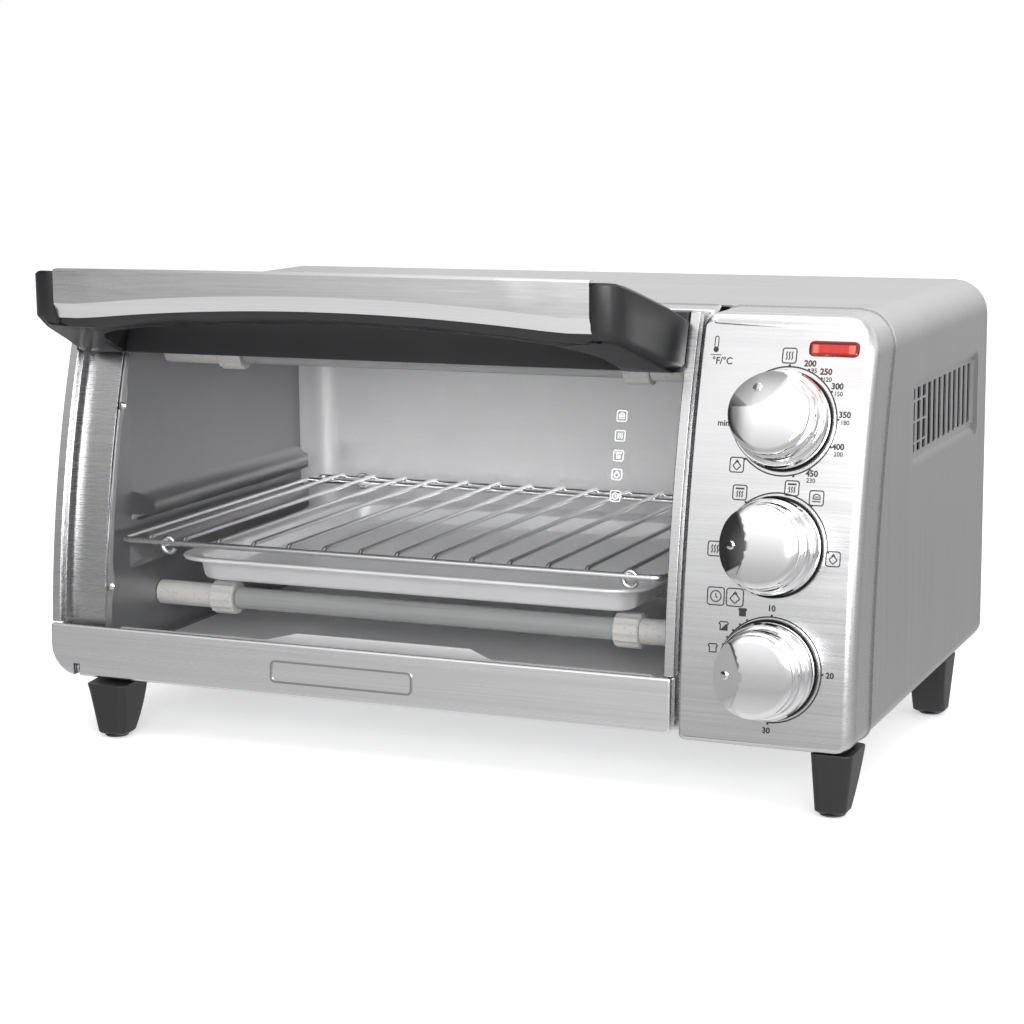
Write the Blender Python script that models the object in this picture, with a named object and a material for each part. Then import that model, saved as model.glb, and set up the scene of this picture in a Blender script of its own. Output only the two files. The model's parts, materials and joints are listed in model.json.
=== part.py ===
"""Four-slice toaster oven, built as the separate pieces that the real one is put together from.

Everything is modelled from one datum: the middle of the body's width (X), the face of the control panel at
the body's lower edge (Y), and the body's lower edge (Z). The datum is then placed so that the oven stands on
Z = 0 with its bounding box centred on the origin. X runs to the right, Y to the back and Z up, in metres.
"""

import math

import bmesh
import bpy
from mathutils import Matrix, Vector

# Body
BODY_WIDTH = 0.410
BODY_HEIGHT = 0.1855
BODY_DEPTH = 0.2478
FOOT_HEIGHT = 0.030
SHEET = 0.0008
GAP = 0.0003
HALF_WIDTH = BODY_WIDTH / 2
CORNER_RADIUS = 0.017
LOWER_CORNER_RADIUS = 0.008
SEAM_SETBACK = 0.0308
RIM_SETBACK = 0.0300
RIM_BEAD = 0.0008
REAR_ROUNDING = 0.0090

# The front leans back along an arc about a horizontal axis behind the oven
FACE_RADIUS = 0.552
FACE_CENTRE_Y = 0.5519
FACE_CENTRE_Z = -0.0124

# How far the oven reaches in front of and behind the datum, to centre it
FRONT_REACH = 0.0250
REAR_REACH = 0.2522
DATUM_Y = (FRONT_REACH - REAR_REACH) / 2

# Control panel, its dials and the lamp
PANEL_LEFT = 0.1263
DIAL_X = 0.167
DIAL_HEIGHTS = {"temperature": 0.1405, "function": 0.0875, "timer": 0.0348}
KNOB_HEIGHT = 0.0268
KNOB_SIDES = 28
SHAFT_RADIUS = 0.0030
SHAFT_HOLE_RADIUS = 0.0042
BEZEL_RADIUS = 0.0225
LAMP_X = 0.1862
LAMP_Z = 0.1713
LAMP_WIDTH = 0.0216
LAMP_HEIGHT = 0.0062
BRACKET_SETBACK = 0.0090

# Front frame and the cavity behind it
FRAME_SETBACK = 0.0155
FRAME_RIGHT = 0.1254
OPENING = (-0.1795, 0.1155, 0.0098, 0.1630)
CAVITY_LEFT = -0.1790
CAVITY_RIGHT = 0.1165
CAVITY_REAR = 0.2400
CAVITY_TOP = 0.1710
CAVITY_CORNER = 0.016
GUIDE_DEPTH = 0.0095
TRAY_FLOOR = 0.0100

# Door
DOOR_LEFT = -0.2046
DOOR_RIGHT = 0.1214
DOOR_CENTRE = -0.0415
DOOR_TOP = 0.1846
STRIP_HEIGHT = 0.0254
STRIP_RIGHT = 0.1203
STRIP_SETBACK = 0.0064
GLASS_SETBACK = 0.0080
GLASS_THICKNESS = 0.0032
TRIM_WIDTH = 0.0048
RAIL_SETBACK = 0.0046
RAIL_BOTTOM = 0.1585
HINGE_Y = 0.0099
HINGE_Z = 0.0036
HINGE_X = (-0.1902, 0.1070)
PIN_RADIUS = 0.0012
EYE_HOLE_RADIUS = 0.0015

# Handle, measured from the door's middle
HANDLE_FRONT = -0.0200
HANDLE_BOW = 0.0030
HANDLE_BACK = -0.0055
HANDLE_TOP = 0.2016
STRIP_REACH = 0.1350
STRIP_RECESS = 0.0013
ARCH = 0.0062
HANDLE_GAP = 0.0004

# Rack, pan and crumb tray
RACK_Z = 0.0668
RACK_FRONT = 0.0235
RACK_BACK = 0.2330
RACK_LEFT = -0.1735
RACK_RIGHT = 0.1110
ROD_RADIUS = 0.0016
WIRE_RADIUS = 0.0012
WIRE_FIRST = -0.1563
WIRE_PITCH = 0.0192
WIRE_COUNT = 14
PAN = (-0.1480, 0.0870, 0.0480, 0.2240)
PAN_RIM_Z = 0.0565
PAN_DEPTH = 0.0122
PAN_FLANGE = 0.0080

# Heating tubes
HEATER_RADIUS = 0.0055
HEATER_ENDS = (-0.1335, 0.0710)
HEATERS = {
    "lower_front_heater": (0.0700, 0.0310),
    "lower_rear_heater": (0.1700, 0.0310),
    "upper_front_heater": (0.0850, 0.1540),
    "upper_rear_heater": (0.1750, 0.1540),
}

# Vent in the right-hand side of the cover, and the cord gland in the back
VENT_SLOTS = 12
VENT_FIRST = 0.1065
VENT_LAST = 0.2185
VENT_SLOT_WIDTH = 0.0058
VENT_LOW = 0.1165
VENT_HIGH = 0.1460
VENT_DENT = 0.0024
GLAND_X = 0.165
GLAND_Z = 0.034
GLAND_RADIUS = 0.0068

FINISHES = {
    "brushed_steel": ((0.62, 0.62, 0.62, 1), 0.32, 1.0),
    "liner": ((0.46, 0.46, 0.47, 1), 0.38, 1.0),
    "chrome": ((0.86, 0.86, 0.87, 1), 0.06, 1.0),
    "aluminium": ((0.78, 0.78, 0.78, 1), 0.35, 1.0),
    "black_plastic": ((0.012, 0.012, 0.013, 1), 0.42, 0.0),
    "glass": ((0.9, 0.95, 0.94, 0.2), 0.03, 0.0),
    "ceramic": ((0.86, 0.85, 0.82, 1), 0.6, 0.0),
    "quartz": ((0.72, 0.72, 0.72, 0.9), 0.3, 0.0),
    "red_lens": ((0.75, 0.03, 0.02, 1), 0.15, 0.0),
    "zinc": ((0.55, 0.56, 0.58, 1), 0.4, 1.0),
    "rubber": ((0.03, 0.03, 0.03, 1), 0.8, 0.0),
}


# ---------------------------------------------------------------- scene and mesh helpers


def clear_scene():
    """Removes every object of the startup scene."""
    for obj in list(bpy.data.objects):
        bpy.data.objects.remove(obj, do_unlink=True)


def finish_of(name):
    """The Principled material of one of the finishes."""
    if name in bpy.data.materials:
        return bpy.data.materials[name]
    colour, roughness, metallic = FINISHES[name]
    material = bpy.data.materials.new(name)
    material.use_nodes = True
    shader = material.node_tree.nodes["Principled BSDF"]
    shader.inputs["Base Color"].default_value = colour
    shader.inputs["Alpha"].default_value = colour[3]
    shader.inputs["Roughness"].default_value = roughness
    shader.inputs["Metallic"].default_value = metallic
    return material


def empty_at(name, location, parent=None, rotation=None):
    """An empty that other pieces hang from."""
    pivot = bpy.data.objects.new(name, None)
    bpy.context.scene.collection.objects.link(pivot)
    pivot.parent = parent
    pivot.location = location
    if rotation:
        pivot.rotation_mode = "QUATERNION"
        pivot.rotation_quaternion = rotation
    return pivot


def piece(name, bm, finish, parent, shift=(0, 0, 0)):
    """An object from a bmesh whose points are given from the datum, or from the parent's own origin."""
    bmesh.ops.recalc_face_normals(bm, faces=bm.faces)
    mesh = bpy.data.meshes.new(name)
    bm.to_mesh(mesh)
    bm.free()
    mesh.shade_smooth()
    mesh.set_sharp_from_angle(angle=math.radians(30))
    obj = bpy.data.objects.new(name, mesh)
    bpy.context.scene.collection.objects.link(obj)
    obj.data.materials.append(finish_of(finish))
    obj.parent = parent
    obj.location = -Vector(shift)
    return obj


def helper(name, bm, parent, shift=(0, 0, 0)):
    """A hidden object that only shapes another one."""
    obj = piece(name, bm, "zinc", parent, shift)
    obj.hide_render = True
    obj.display_type = "WIRE"
    return obj


def boolean(obj, other, operation):
    """Cuts another object from this one, or joins it on."""
    modifier = obj.modifiers.new(f"{operation.lower()}_{other.name}", "BOOLEAN")
    modifier.object = other
    modifier.operation = operation
    modifier.solver = "EXACT"


def cut(obj, *cutters):
    """Cuts each of the helpers from this object."""
    for cutter in cutters:
        boolean(obj, cutter, "DIFFERENCE")


def join(obj, *others):
    """Joins each of the helpers onto this object."""
    for other in others:
        boolean(obj, other, "UNION")


def skin(rings, closed=False):
    """A bmesh through rings of equally many points, capped at both ends or closed on itself."""
    bm = bmesh.new()
    loops = [[bm.verts.new(point) for point in ring] for ring in rings]
    pairs = list(zip(loops, loops[1:]))
    if closed:
        pairs.append((loops[-1], loops[0]))
    for first, second in pairs:
        for i in range(len(first)):
            j = (i + 1) % len(first)
            bm.faces.new((first[i], first[j], second[j], second[i]))
    if not closed:
        bm.faces.new(loops[0])
        bm.faces.new(loops[-1])
    return bm


def box(x0, x1, y0, y1, z0, z1):
    """A bmesh box between two corners."""
    ring = [(x0, y0), (x1, y0), (x1, y1), (x0, y1)]
    return skin([[(x, y, z) for x, y in ring] for z in (z0, z1)])


def arc(centre, radius, start, end, steps):
    """Points on an arc, its angles in degrees, both ends included."""
    angles = [math.radians(start + (end - start) * i / steps) for i in range(steps + 1)]
    return [(centre[0] + radius * math.cos(a), centre[1] + radius * math.sin(a)) for a in angles]


def rounded_rectangle(x0, x1, y0, y1, radius, steps=4):
    """The outline of a rectangle with round corners, in two coordinates."""
    corners = [(x1 - radius, y0 + radius, -90), (x1 - radius, y1 - radius, 0)]
    corners += [(x0 + radius, y1 - radius, 90), (x0 + radius, y0 + radius, 180)]
    return [p for x, y, start in corners for p in arc((x, y), radius, start, start + 90, steps)]


def turned(profile, sides):
    """A bmesh turned about Z from a profile of (radius, height). A profile that starts and ends on the axis is
    closed there, and any other one is closed on itself."""
    bm = bmesh.new()
    columns = []
    for i in range(sides):
        turn = 2 * math.pi * i / sides
        column = []
        for k, (radius, height) in enumerate(profile):
            if radius == 0 and columns:
                column.append(columns[0][k])
            else:
                column.append(bm.verts.new((radius * math.cos(turn), radius * math.sin(turn), height)))
        columns.append(column)
    on_axis = profile[0][0] == 0
    count = len(profile) if not on_axis else len(profile) - 1
    for i in range(sides):
        here, there = columns[i], columns[(i + 1) % sides]
        for k in range(count):
            m = (k + 1) % len(profile)
            corners = []
            for vert in (here[k], there[k], there[m], here[m]):
                if vert not in corners:
                    corners.append(vert)
            bm.faces.new(corners)
    return bm


def turned_along(profile, sides, axis, origin):
    """A turned shape whose own Z is laid along an axis through an origin."""
    bm = turned(profile, sides)
    turn = Vector((0, 0, 1)).rotation_difference(Vector(axis)).to_matrix().to_4x4()
    bmesh.ops.transform(bm, matrix=Matrix.Translation(origin) @ turn, verts=bm.verts)
    return bm


def rod(radius, length, sides, axis, origin):
    """A plain round bar from an origin along an axis."""
    return turned_along([(0, 0), (radius, 0), (radius, length), (0, length)], sides, axis, origin)


def wire(points, radius, sides, closed=False):
    """A bmesh of round wire along a path, its joints mitred."""
    path = [Vector(p) for p in points]
    count = len(path)
    rings = []
    normal = None
    for i, here in enumerate(path):
        before = path[i - 1] if i or closed else here
        after = path[(i + 1) % count] if i < count - 1 or closed else here
        along = ((here - before).normalized() + (after - here).normalized()).normalized()
        if normal is None:
            normal = along.orthogonal().normalized()
        normal = (normal - along * normal.dot(along)).normalized()
        across = along.cross(normal)
        cosine = along.dot((after - here).normalized()) if after != here else 1.0
        stretch_axis = (after - here).normalized() - along if after != here else Vector()
        ring = []
        for k in range(sides):
            turn = 2 * math.pi * k / sides
            offset = normal * math.cos(turn) * radius + across * math.sin(turn) * radius
            if stretch_axis.length > 1e-6:
                side = stretch_axis.normalized()
                side = (side - along * side.dot(along)).normalized()
                offset += side * offset.dot(side) * (1 / max(cosine, 0.5) - 1)
            ring.append(here + offset)
        rings.append(ring)
    return skin(rings, closed)


def face_y(z, setback=0.0):
    """How far back the leaning front is at a height, or a surface set back behind it."""
    radius = FACE_RADIUS - setback
    return FACE_CENTRE_Y - math.sqrt(radius**2 - (z - FACE_CENTRE_Z) ** 2)


def face_lean(z):
    """The angle in radians by which the front faces upwards at a height."""
    return math.asin((z - FACE_CENTRE_Z) / FACE_RADIUS)


def face_point(x, z, out=0.0):
    """A point in front of the leaning face, along its normal."""
    lean = face_lean(z)
    return Vector((x, face_y(z) - out * math.cos(lean), z + out * math.sin(lean)))


def face_turn(z):
    """The turn that lays Z along the face's outward normal and Y up along the face."""
    lean = face_lean(z)
    outward = Vector((0, -math.cos(lean), math.sin(lean)))
    upward = Vector((0, math.sin(lean), math.cos(lean)))
    return Matrix((Vector((1, 0, 0)), upward, outward)).transposed().to_quaternion()


def curved_slab(x0, x1, z0, z1, front, back, rows=12):
    """A slab that follows the leaning front between two setbacks."""
    rings = []
    for i in range(rows + 1):
        z = z0 + (z1 - z0) * i / rows
        y0, y1 = face_y(z, front), face_y(z, back)
        rings.append([(x0, y0, z), (x1, y0, z), (x1, y1, z), (x0, y1, z)])
    return skin(rings)


class Cap:
    """A pressed cover: a face on the leaning front, a rounded edge and walls running back from it.

    Sides are given in the order left, right, bottom, top; corners in the order bottom left, bottom right,
    top left, top right. Depths are measured back from the face.
    """

    BEND = (0, 30, 60, 90)

    def __init__(self, x0, x1, z0, z1, setback, corners, edges, depths, beads=None, rows=10):
        self.x0, self.x1, self.z0, self.z1 = x0, x1, z0, z1
        self.setback = setback
        self.corners = corners
        self.edges = edges
        self.depths = depths
        self.beads = beads
        self.rows = rows

    def levels(self):
        """The heights at which the outline has a point on each side."""
        bottom_left, bottom_right, top_left, top_right = self.corners
        low = max(bottom_left, bottom_right)
        high = max(top_left, top_right)
        found = []
        for step in range(0, 7):
            rise = 1 - math.cos(math.radians(15 * step))
            found += [self.z0 + bottom_left * rise, self.z0 + bottom_right * rise]
            found += [self.z1 - top_left * rise, self.z1 - top_right * rise]
        straight = self.z1 - high - self.z0 - low
        found += [self.z0 + low + straight * i / self.rows for i in range(1, self.rows)]
        kept = []
        for level in sorted(found):
            if not kept or level - kept[-1] > 0.0003:
                kept.append(level)
        kept[-1] = self.z1
        return kept

    def edge_point(self, z, side):
        """The outline's point and outward normal on the left (-1) or right (1) at a height."""
        bottom_left, bottom_right, top_left, top_right = self.corners
        x = self.x0 if side < 0 else self.x1
        low = bottom_left if side < 0 else bottom_right
        high = top_left if side < 0 else top_right
        if z < self.z0 + low:
            centre, radius = self.z0 + low, low
        elif z > self.z1 - high:
            centre, radius = self.z1 - high, high
        else:
            return (x, z), (side, 0.0)
        sine = max(-1.0, min(1.0, (z - centre) / radius))
        cosine = math.sqrt(1 - sine * sine)
        return (x - side * radius * (1 - cosine), z), (side * cosine, sine)

    def blend(self, normal, values):
        """A value that goes smoothly from side to side round the outline."""
        left, right, bottom, top = values
        nx, nz = normal
        across = left if nx < 0 else right
        upright = bottom if nz < 0 else top
        return across * nx * nx + upright * nz * nz

    def ring(self, inset, depth, swell=0.0):
        """One ring of points, from its inset by edge radius, its depth by edge radius and wall, and its bead."""
        points = []
        for (x, z), normal in self.outline:
            edge = self.blend(normal, self.edges)
            wall = self.blend(normal, self.depths)
            bead = self.blend(normal, self.beads) if self.beads else 0.0
            move = inset(edge) - bead * swell
            z_here = z - normal[1] * move
            y = face_y(z_here, self.setback + depth(edge, wall))
            points.append((x - normal[0] * move, y, z_here))
        return points

    def build(self):
        """The closed sheet as a bmesh."""
        levels = self.levels()
        left = [self.edge_point(z, -1) for z in reversed(levels)]
        right = [self.edge_point(z, 1) for z in levels]
        self.outline = left + right
        rings = []
        for angle in self.BEND:
            s, c = math.sin(math.radians(angle)), math.cos(math.radians(angle))
            rings.append(self.ring(lambda e: e * (1 - s), lambda e, w: e * (1 - c)))
        if self.beads:
            rings.append(self.ring(lambda e: 0, lambda e, w: max(w - 0.0030, e + 0.0002)))
            rings.append(self.ring(lambda e: 0, lambda e, w: max(w - 0.0020, e + 0.0005), 1.0))
            rings.append(self.ring(lambda e: 0, lambda e, w: max(w - 0.0007, e + 0.0008), 1.0))
        rings.append(self.ring(lambda e: 0, lambda e, w: w, 0.3))
        rings.append(self.ring(lambda e: SHEET, lambda e, w: w))
        for angle in reversed(self.BEND):
            s, c = math.sin(math.radians(angle)), math.cos(math.radians(angle))
            rings.append(self.ring(lambda e: e - (e - SHEET) * s, lambda e, w: e - (e - SHEET) * c))
        bm = bmesh.new()
        loops = [[bm.verts.new(p) for p in ring] for ring in rings]
        count = len(self.outline)
        for first, second in zip(loops, loops[1:]):
            for i in range(count):
                j = (i + 1) % count
                bm.faces.new((first[i], first[j], second[j], second[i]))
        half = len(levels)
        for loop in (loops[0], loops[-1]):
            for k in range(half - 1):
                bm.faces.new((loop[half - 1 - k], loop[half - 2 - k], loop[half + k + 1], loop[half + k]))
        return bm


# ---------------------------------------------------------------- body shell


def cover_path():
    """The outside of the cover seen from the front, from its left lower hem over the top to the right one."""
    low, high = LOWER_CORNER_RADIUS, CORNER_RADIUS
    side_rows = 8
    left = arc((-HALF_WIDTH + low, low), low, 270, 180, 6)
    rise = BODY_HEIGHT - low - high
    left += [(-HALF_WIDTH, low + rise * i / side_rows) for i in range(1, side_rows)]
    left += arc((-HALF_WIDTH + high, BODY_HEIGHT - high), high, 180, 90, 6)
    hem = [(-0.186, 0.0)]
    half = hem + left
    return half + [(-x, z) for x, z in reversed(half)]


def rear_y(z):
    """The back edge of the cover at a height, rounded off towards the bottom."""
    drop = max(REAR_ROUNDING - z, 0.0)
    return BODY_DEPTH - REAR_ROUNDING + math.sqrt(REAR_ROUNDING**2 - drop**2)


def build_outer_cover(datum):
    """The wrap-round cover: left side, top, right side and narrow hems underneath."""
    path = cover_path()
    rings = []
    for i, (x, z) in enumerate(path):
        before = Vector(path[max(i - 1, 0)])
        after = Vector(path[min(i + 1, len(path) - 1)])
        along = (after - before).normalized()
        inner_x, inner_z = x + along.y * SHEET, z - along.x * SHEET
        y0, y1 = face_y(max(z, 0), SEAM_SETBACK), rear_y(z)
        rings.append([(x, y0, z), (x, y1, z), (inner_x, y1, inner_z), (inner_x, y0, inner_z)])
    cover = piece("outer_cover", skin(rings), "brushed_steel", datum)
    join(cover, vent_backing(datum))
    cut(cover, vent_recess(datum))
    slot_pitch = (VENT_LAST - VENT_FIRST) / (VENT_SLOTS - 1)
    for i in range(VENT_SLOTS):
        y = VENT_FIRST + slot_pitch * i
        slot = box(0.196, 0.210, y - VENT_SLOT_WIDTH / 2, y + VENT_SLOT_WIDTH / 2, VENT_LOW, VENT_HIGH)
        cut(cover, helper(f"vent_slot_{i + 1:02d}", slot, datum))
    return cover


def vent_backing(datum):
    """The block behind the side wall that the shallow vent dish is pressed into."""
    outline = rounded_rectangle(0.0945, 0.2315, 0.1065, 0.1535, 0.0070, 3)
    depths = (HALF_WIDTH - VENT_DENT - SHEET, HALF_WIDTH - SHEET / 2)
    return helper("vent_backing", skin([[(x, y, z) for y, z in outline] for x in depths]), datum)


def vent_recess(datum):
    """The hollow of the vent dish, wider at its rim than at its floor."""
    rings = []
    for x, grow in ((HALF_WIDTH - VENT_DENT, 0.0), (HALF_WIDTH + 0.0010, 0.0052)):
        corner = 0.0030 + grow / 2
        outline = rounded_rectangle(0.1008 - grow, 0.2252 + grow, 0.1128 - grow, 0.1482 + grow, corner, 3)
        rings.append([(x, y, z) for y, z in outline])
    return helper("vent_recess", skin(rings), datum)


def build_control_panel(datum):
    """The stainless panel on the right, with holes for the dial shafts and the lamp."""
    cap = Cap(
        PANEL_LEFT, HALF_WIDTH, 0.0, BODY_HEIGHT, 0.0,
        corners=(0.0030, LOWER_CORNER_RADIUS, 0.0064, CORNER_RADIUS),
        edges=(0.0012, 0.0050, 0.0024, 0.0060),
        depths=(0.0185, RIM_SETBACK, RIM_SETBACK, RIM_SETBACK),
        beads=(0.0, RIM_BEAD, RIM_BEAD, RIM_BEAD),
    )
    panel = piece("control_panel", cap.build(), "brushed_steel", datum)
    for dial, z in DIAL_HEIGHTS.items():
        centre = face_point(DIAL_X, z, -0.005)
        outward = face_point(DIAL_X, z, 0.005) - centre
        hole = rod(SHAFT_HOLE_RADIUS, 0.010, 16, outward, centre)
        cut(panel, helper(f"{dial}_shaft_hole", hole, datum))
    hole = lamp_block(LAMP_WIDTH + 0.0008, LAMP_HEIGHT + 0.0008, -0.004, 0.004)
    cut(panel, helper("lamp_hole", hole, datum))
    return panel


def lamp_block(width, height, low, high):
    """A block with round ends, standing on the panel at the lamp's place."""
    outline = rounded_rectangle(-width / 2, width / 2, -height / 2, height / 2, 0.0022, 3)
    bm = skin([[(x, y, h) for x, y in outline] for h in (low, high)])
    place = Matrix.Translation(face_point(LAMP_X, LAMP_Z)) @ face_turn(LAMP_Z).to_matrix().to_4x4()
    bmesh.ops.transform(bm, matrix=place, verts=bm.verts)
    return bm


def build_front_frame(datum):
    """The door surround: the jambs, header and sill that the door closes against."""
    cap = Cap(
        -HALF_WIDTH, FRAME_RIGHT, 0.0, BODY_HEIGHT, FRAME_SETBACK,
        corners=(LOWER_CORNER_RADIUS, 0.0030, CORNER_RADIUS, 0.0032),
        edges=(0.0030, 0.0012, 0.0015, 0.0030),
        depths=(RIM_SETBACK - FRAME_SETBACK, 0.0030, RIM_SETBACK - FRAME_SETBACK, RIM_SETBACK - FRAME_SETBACK),
        beads=(RIM_BEAD, 0.0, RIM_BEAD, RIM_BEAD),
    )
    frame = piece("front_frame", cap.build(), "brushed_steel", datum)
    x0, x1, z0, z1 = OPENING
    outline = rounded_rectangle(x0, x1, z0, z1, 0.003, 3)
    mouth = skin([[(x, y, z) for x, z in outline] for y in (0.005, 0.060)])
    cut(frame, helper("frame_mouth", mouth, datum))
    for i, x in enumerate(HINGE_X):
        slot = box(x - 0.0022, x + 0.0022, 0.005, 0.0215, 0.0009, 0.0080)
        cut(frame, helper(f"frame_hinge_slot_{i}", slot, datum))
    return frame


def build_rear_panel(datum):
    """The flat back with its cooling slots and the hole for the cord gland."""
    inset = SHEET + 0.0005
    half = HALF_WIDTH - inset
    high = BODY_HEIGHT - inset
    radius = CORNER_RADIUS - inset
    outline = [(half, REAR_ROUNDING)] + arc((half - radius, high - radius), radius, 0, 90, 6)
    outline = outline + [(-x, z) for x, z in reversed(outline)]
    back = BODY_DEPTH - 0.0010
    sheet = skin([[(x, y, z) for x, z in outline] for y in (back - SHEET, back)])
    rear = piece("rear_panel", sheet, "zinc", datum)
    for row, z in enumerate((0.100, 0.120, 0.140)):
        for column in range(5):
            x = 0.136 + 0.012 * column
            slot = box(x - 0.003, x + 0.003, back - 0.005, back + 0.005, z - 0.007, z + 0.007)
            cut(rear, helper(f"rear_slot_{row}_{column}", slot, datum))
    hole = rod(GLAND_RADIUS + 0.0004, 0.012, 20, (0, 1, 0), (GLAND_X, back - 0.006, GLAND_Z))
    cut(rear, helper("gland_hole", hole, datum))
    return rear


def build_cord_gland(datum):
    """The bushing that the supply cord would leave through."""
    back = BODY_DEPTH - 0.0010
    inside, outside = 0.0040, 0.0100
    profile = [(inside, -0.006), (GLAND_RADIUS, -0.006), (GLAND_RADIUS, GAP), (outside, GAP)]
    profile += [(outside, 0.0030), (outside - 0.0015, 0.0050), (inside + 0.0006, 0.0054), (inside, 0.0048)]
    gland = turned_along(profile, 20, (0, 1, 0), (GLAND_X, back, GLAND_Z))
    return piece("cord_gland", gland, "rubber", datum)


def build_base_pan(datum):
    """The bottom plate with its turned-up rim."""
    x0, x1, y0, y1 = -0.1970, 0.1970, 0.0250, 0.2400
    low, high = 0.0017, 0.0084
    rings = []
    for inset, z in ((0, low), (0, high), (SHEET, high), (SHEET, low + SHEET)):
        outline = rounded_rectangle(x0 + inset, x1 - inset, y0 + inset, y1 - inset, 0.004 - inset, 3)
        rings.append([(x, y, z) for x, y in outline])
    return piece("base_pan", skin(rings), "zinc", datum)


# ---------------------------------------------------------------- cavity


def guide_profile():
    """The side wall's face as (reach into the cavity, height), from the top down, with two rack guides."""
    reach = GUIDE_DEPTH
    return [
        (0, CAVITY_TOP), (0, 0.0870), (reach, 0.0825), (reach, 0.0755), (0, 0.0715),
        (0, 0.0649), (reach, 0.0646), (reach, 0.0530), (0, 0.0480), (0, TRAY_FLOOR - GAP),
        (0.0110, TRAY_FLOOR - GAP), (0.0110, TRAY_FLOOR - GAP - SHEET),
    ]


def guide_backs():
    """The wall's hidden side, a sheet's thickness behind its face, from the bottom up."""
    reach = GUIDE_DEPTH - SHEET
    back = -SHEET
    return [
        (back, TRAY_FLOOR - GAP - SHEET), (back, 0.0475), (reach, 0.0535), (reach, 0.0637), (back, 0.0641),
        (back, 0.0723), (reach, 0.0760), (reach, 0.0820), (back, 0.0865), (back, CAVITY_TOP),
    ]


def build_side_wall(name, x, inward, datum):
    """One side of the cavity, its guides pressed in between the front and the back."""
    profile = guide_profile() + guide_backs()
    front_setback = FRAME_SETBACK + SHEET + 0.0004
    rear = CAVITY_REAR - CAVITY_CORNER - 0.002
    stations = ((0.0, 0), (0.10, 0), (0.135, 1), (0.955, 1), (0.985, 0), (1.0, 0))
    rings = []
    for share, pressed in stations:
        ring = []
        for reach, z in profile:
            foot = z < 0.012 and reach > 0
            depth = reach if pressed or foot or reach <= 0 else 0.0
            if not pressed and reach == GUIDE_DEPTH - SHEET:
                depth = -SHEET
            y_front = face_y(z, front_setback)
            ring.append((x + inward * depth, y_front + share * (rear - y_front), z))
        rings.append(ring)
    return piece(name, skin(rings), "liner", datum)


def build_rear_wall(datum):
    """The back of the cavity, turned forward at both ends round a wide corner."""
    r = CAVITY_CORNER
    path = [(CAVITY_LEFT, CAVITY_REAR - r - 0.0016)] + arc((CAVITY_LEFT + r, CAVITY_REAR - r), r, 180, 90, 6)
    path += arc((CAVITY_RIGHT - r, CAVITY_REAR - r), r, 90, 0, 6) + [(CAVITY_RIGHT, CAVITY_REAR - r - 0.0016)]
    outer_r = r + SHEET
    outer = [(CAVITY_LEFT - SHEET, CAVITY_REAR - r - 0.0016)]
    outer += arc((CAVITY_LEFT + r, CAVITY_REAR - r), outer_r, 180, 90, 6)
    outer += arc((CAVITY_RIGHT - r, CAVITY_REAR - r), outer_r, 90, 0, 6)
    outer += [(CAVITY_RIGHT + SHEET, CAVITY_REAR - r - 0.0016)]
    rings = []
    for (x0, y0), (x1, y1) in zip(path, outer):
        rings.append([(x0, y0, 0.0100), (x0, y0, CAVITY_TOP), (x1, y1, CAVITY_TOP), (x1, y1, 0.0100)])
    return piece("cavity_rear_wall", skin(rings), "liner", datum)


def build_roof(datum):
    """The top of the cavity."""
    z0 = CAVITY_TOP + GAP + 0.0002
    y0 = face_y(z0, FRAME_SETBACK + SHEET + 0.0006) + 0.0008
    roof = box(CAVITY_LEFT - SHEET, CAVITY_RIGHT + SHEET, y0, CAVITY_REAR + SHEET, z0, z0 + SHEET)
    return piece("cavity_roof", roof, "liner", datum)


def tray_lip(x):
    """The height of the crumb tray's front lip, raised in the middle as a finger pull."""
    low, high = 0.0240, 0.0284
    rise = ((-0.0895, 0.0), (-0.0720, 1.0), (0.0186, 1.0), (0.0289, 0.0))
    if x <= rise[0][0] or x >= rise[-1][0]:
        return low
    for (x0, a), (x1, b) in zip(rise, rise[1:]):
        if x0 <= x <= x1:
            return low + (high - low) * (a + (b - a) * (x - x0) / (x1 - x0))
    return low


def build_crumb_tray(datum):
    """The tray that closes the cavity's floor and pulls out to the front."""
    y0, y1 = 0.0172, 0.2330
    floor = TRAY_FLOOR
    rings = []
    for x in (-0.1720, -0.1700, -0.0895, -0.0720, 0.0186, 0.0289, 0.1075, 0.1095):
        lip = tray_lip(x) - (0.0014 if x in (-0.1720, 0.1095) else 0.0)
        ring = [(y0, lip), (y0, floor), (y1, floor), (y1, floor + 0.004), (y1 - SHEET, floor + 0.004)]
        ring += [(y1 - SHEET, floor + SHEET), (y0 + SHEET, floor + SHEET), (y0 + SHEET, lip)]
        rings.append([(x, y, z) for y, z in ring])
    return piece("crumb_tray", skin(rings), "aluminium", datum)


def build_heater(name, datum):
    """A quartz heating tube and the ceramic holder at each of its ends."""
    y, z = HEATERS[name]
    x0, x1 = HEATER_ENDS
    tube = rod(HEATER_RADIUS, x1 - x0, 16, (1, 0, 0), (x0, y, z))
    nodes = [piece(name, tube, "quartz", datum)]
    for end, wall, towards in (("left", CAVITY_LEFT, 1), ("right", CAVITY_RIGHT, -1)):
        start = wall + towards * GAP
        reach = abs((x0 if towards > 0 else x1) - start) - GAP
        profile = [(0, 0), (0.0062, 0), (0.0062, reach - 0.0130)]
        profile += [(0.0086, reach - 0.0130), (0.0086, reach), (0, reach)]
        holder = turned_along(profile, 12, (towards, 0, 0), (start, y, z))
        nodes.append(piece(f"{name}_holder_{end}", holder, "ceramic", datum))
    return nodes


# ---------------------------------------------------------------- controls


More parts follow.
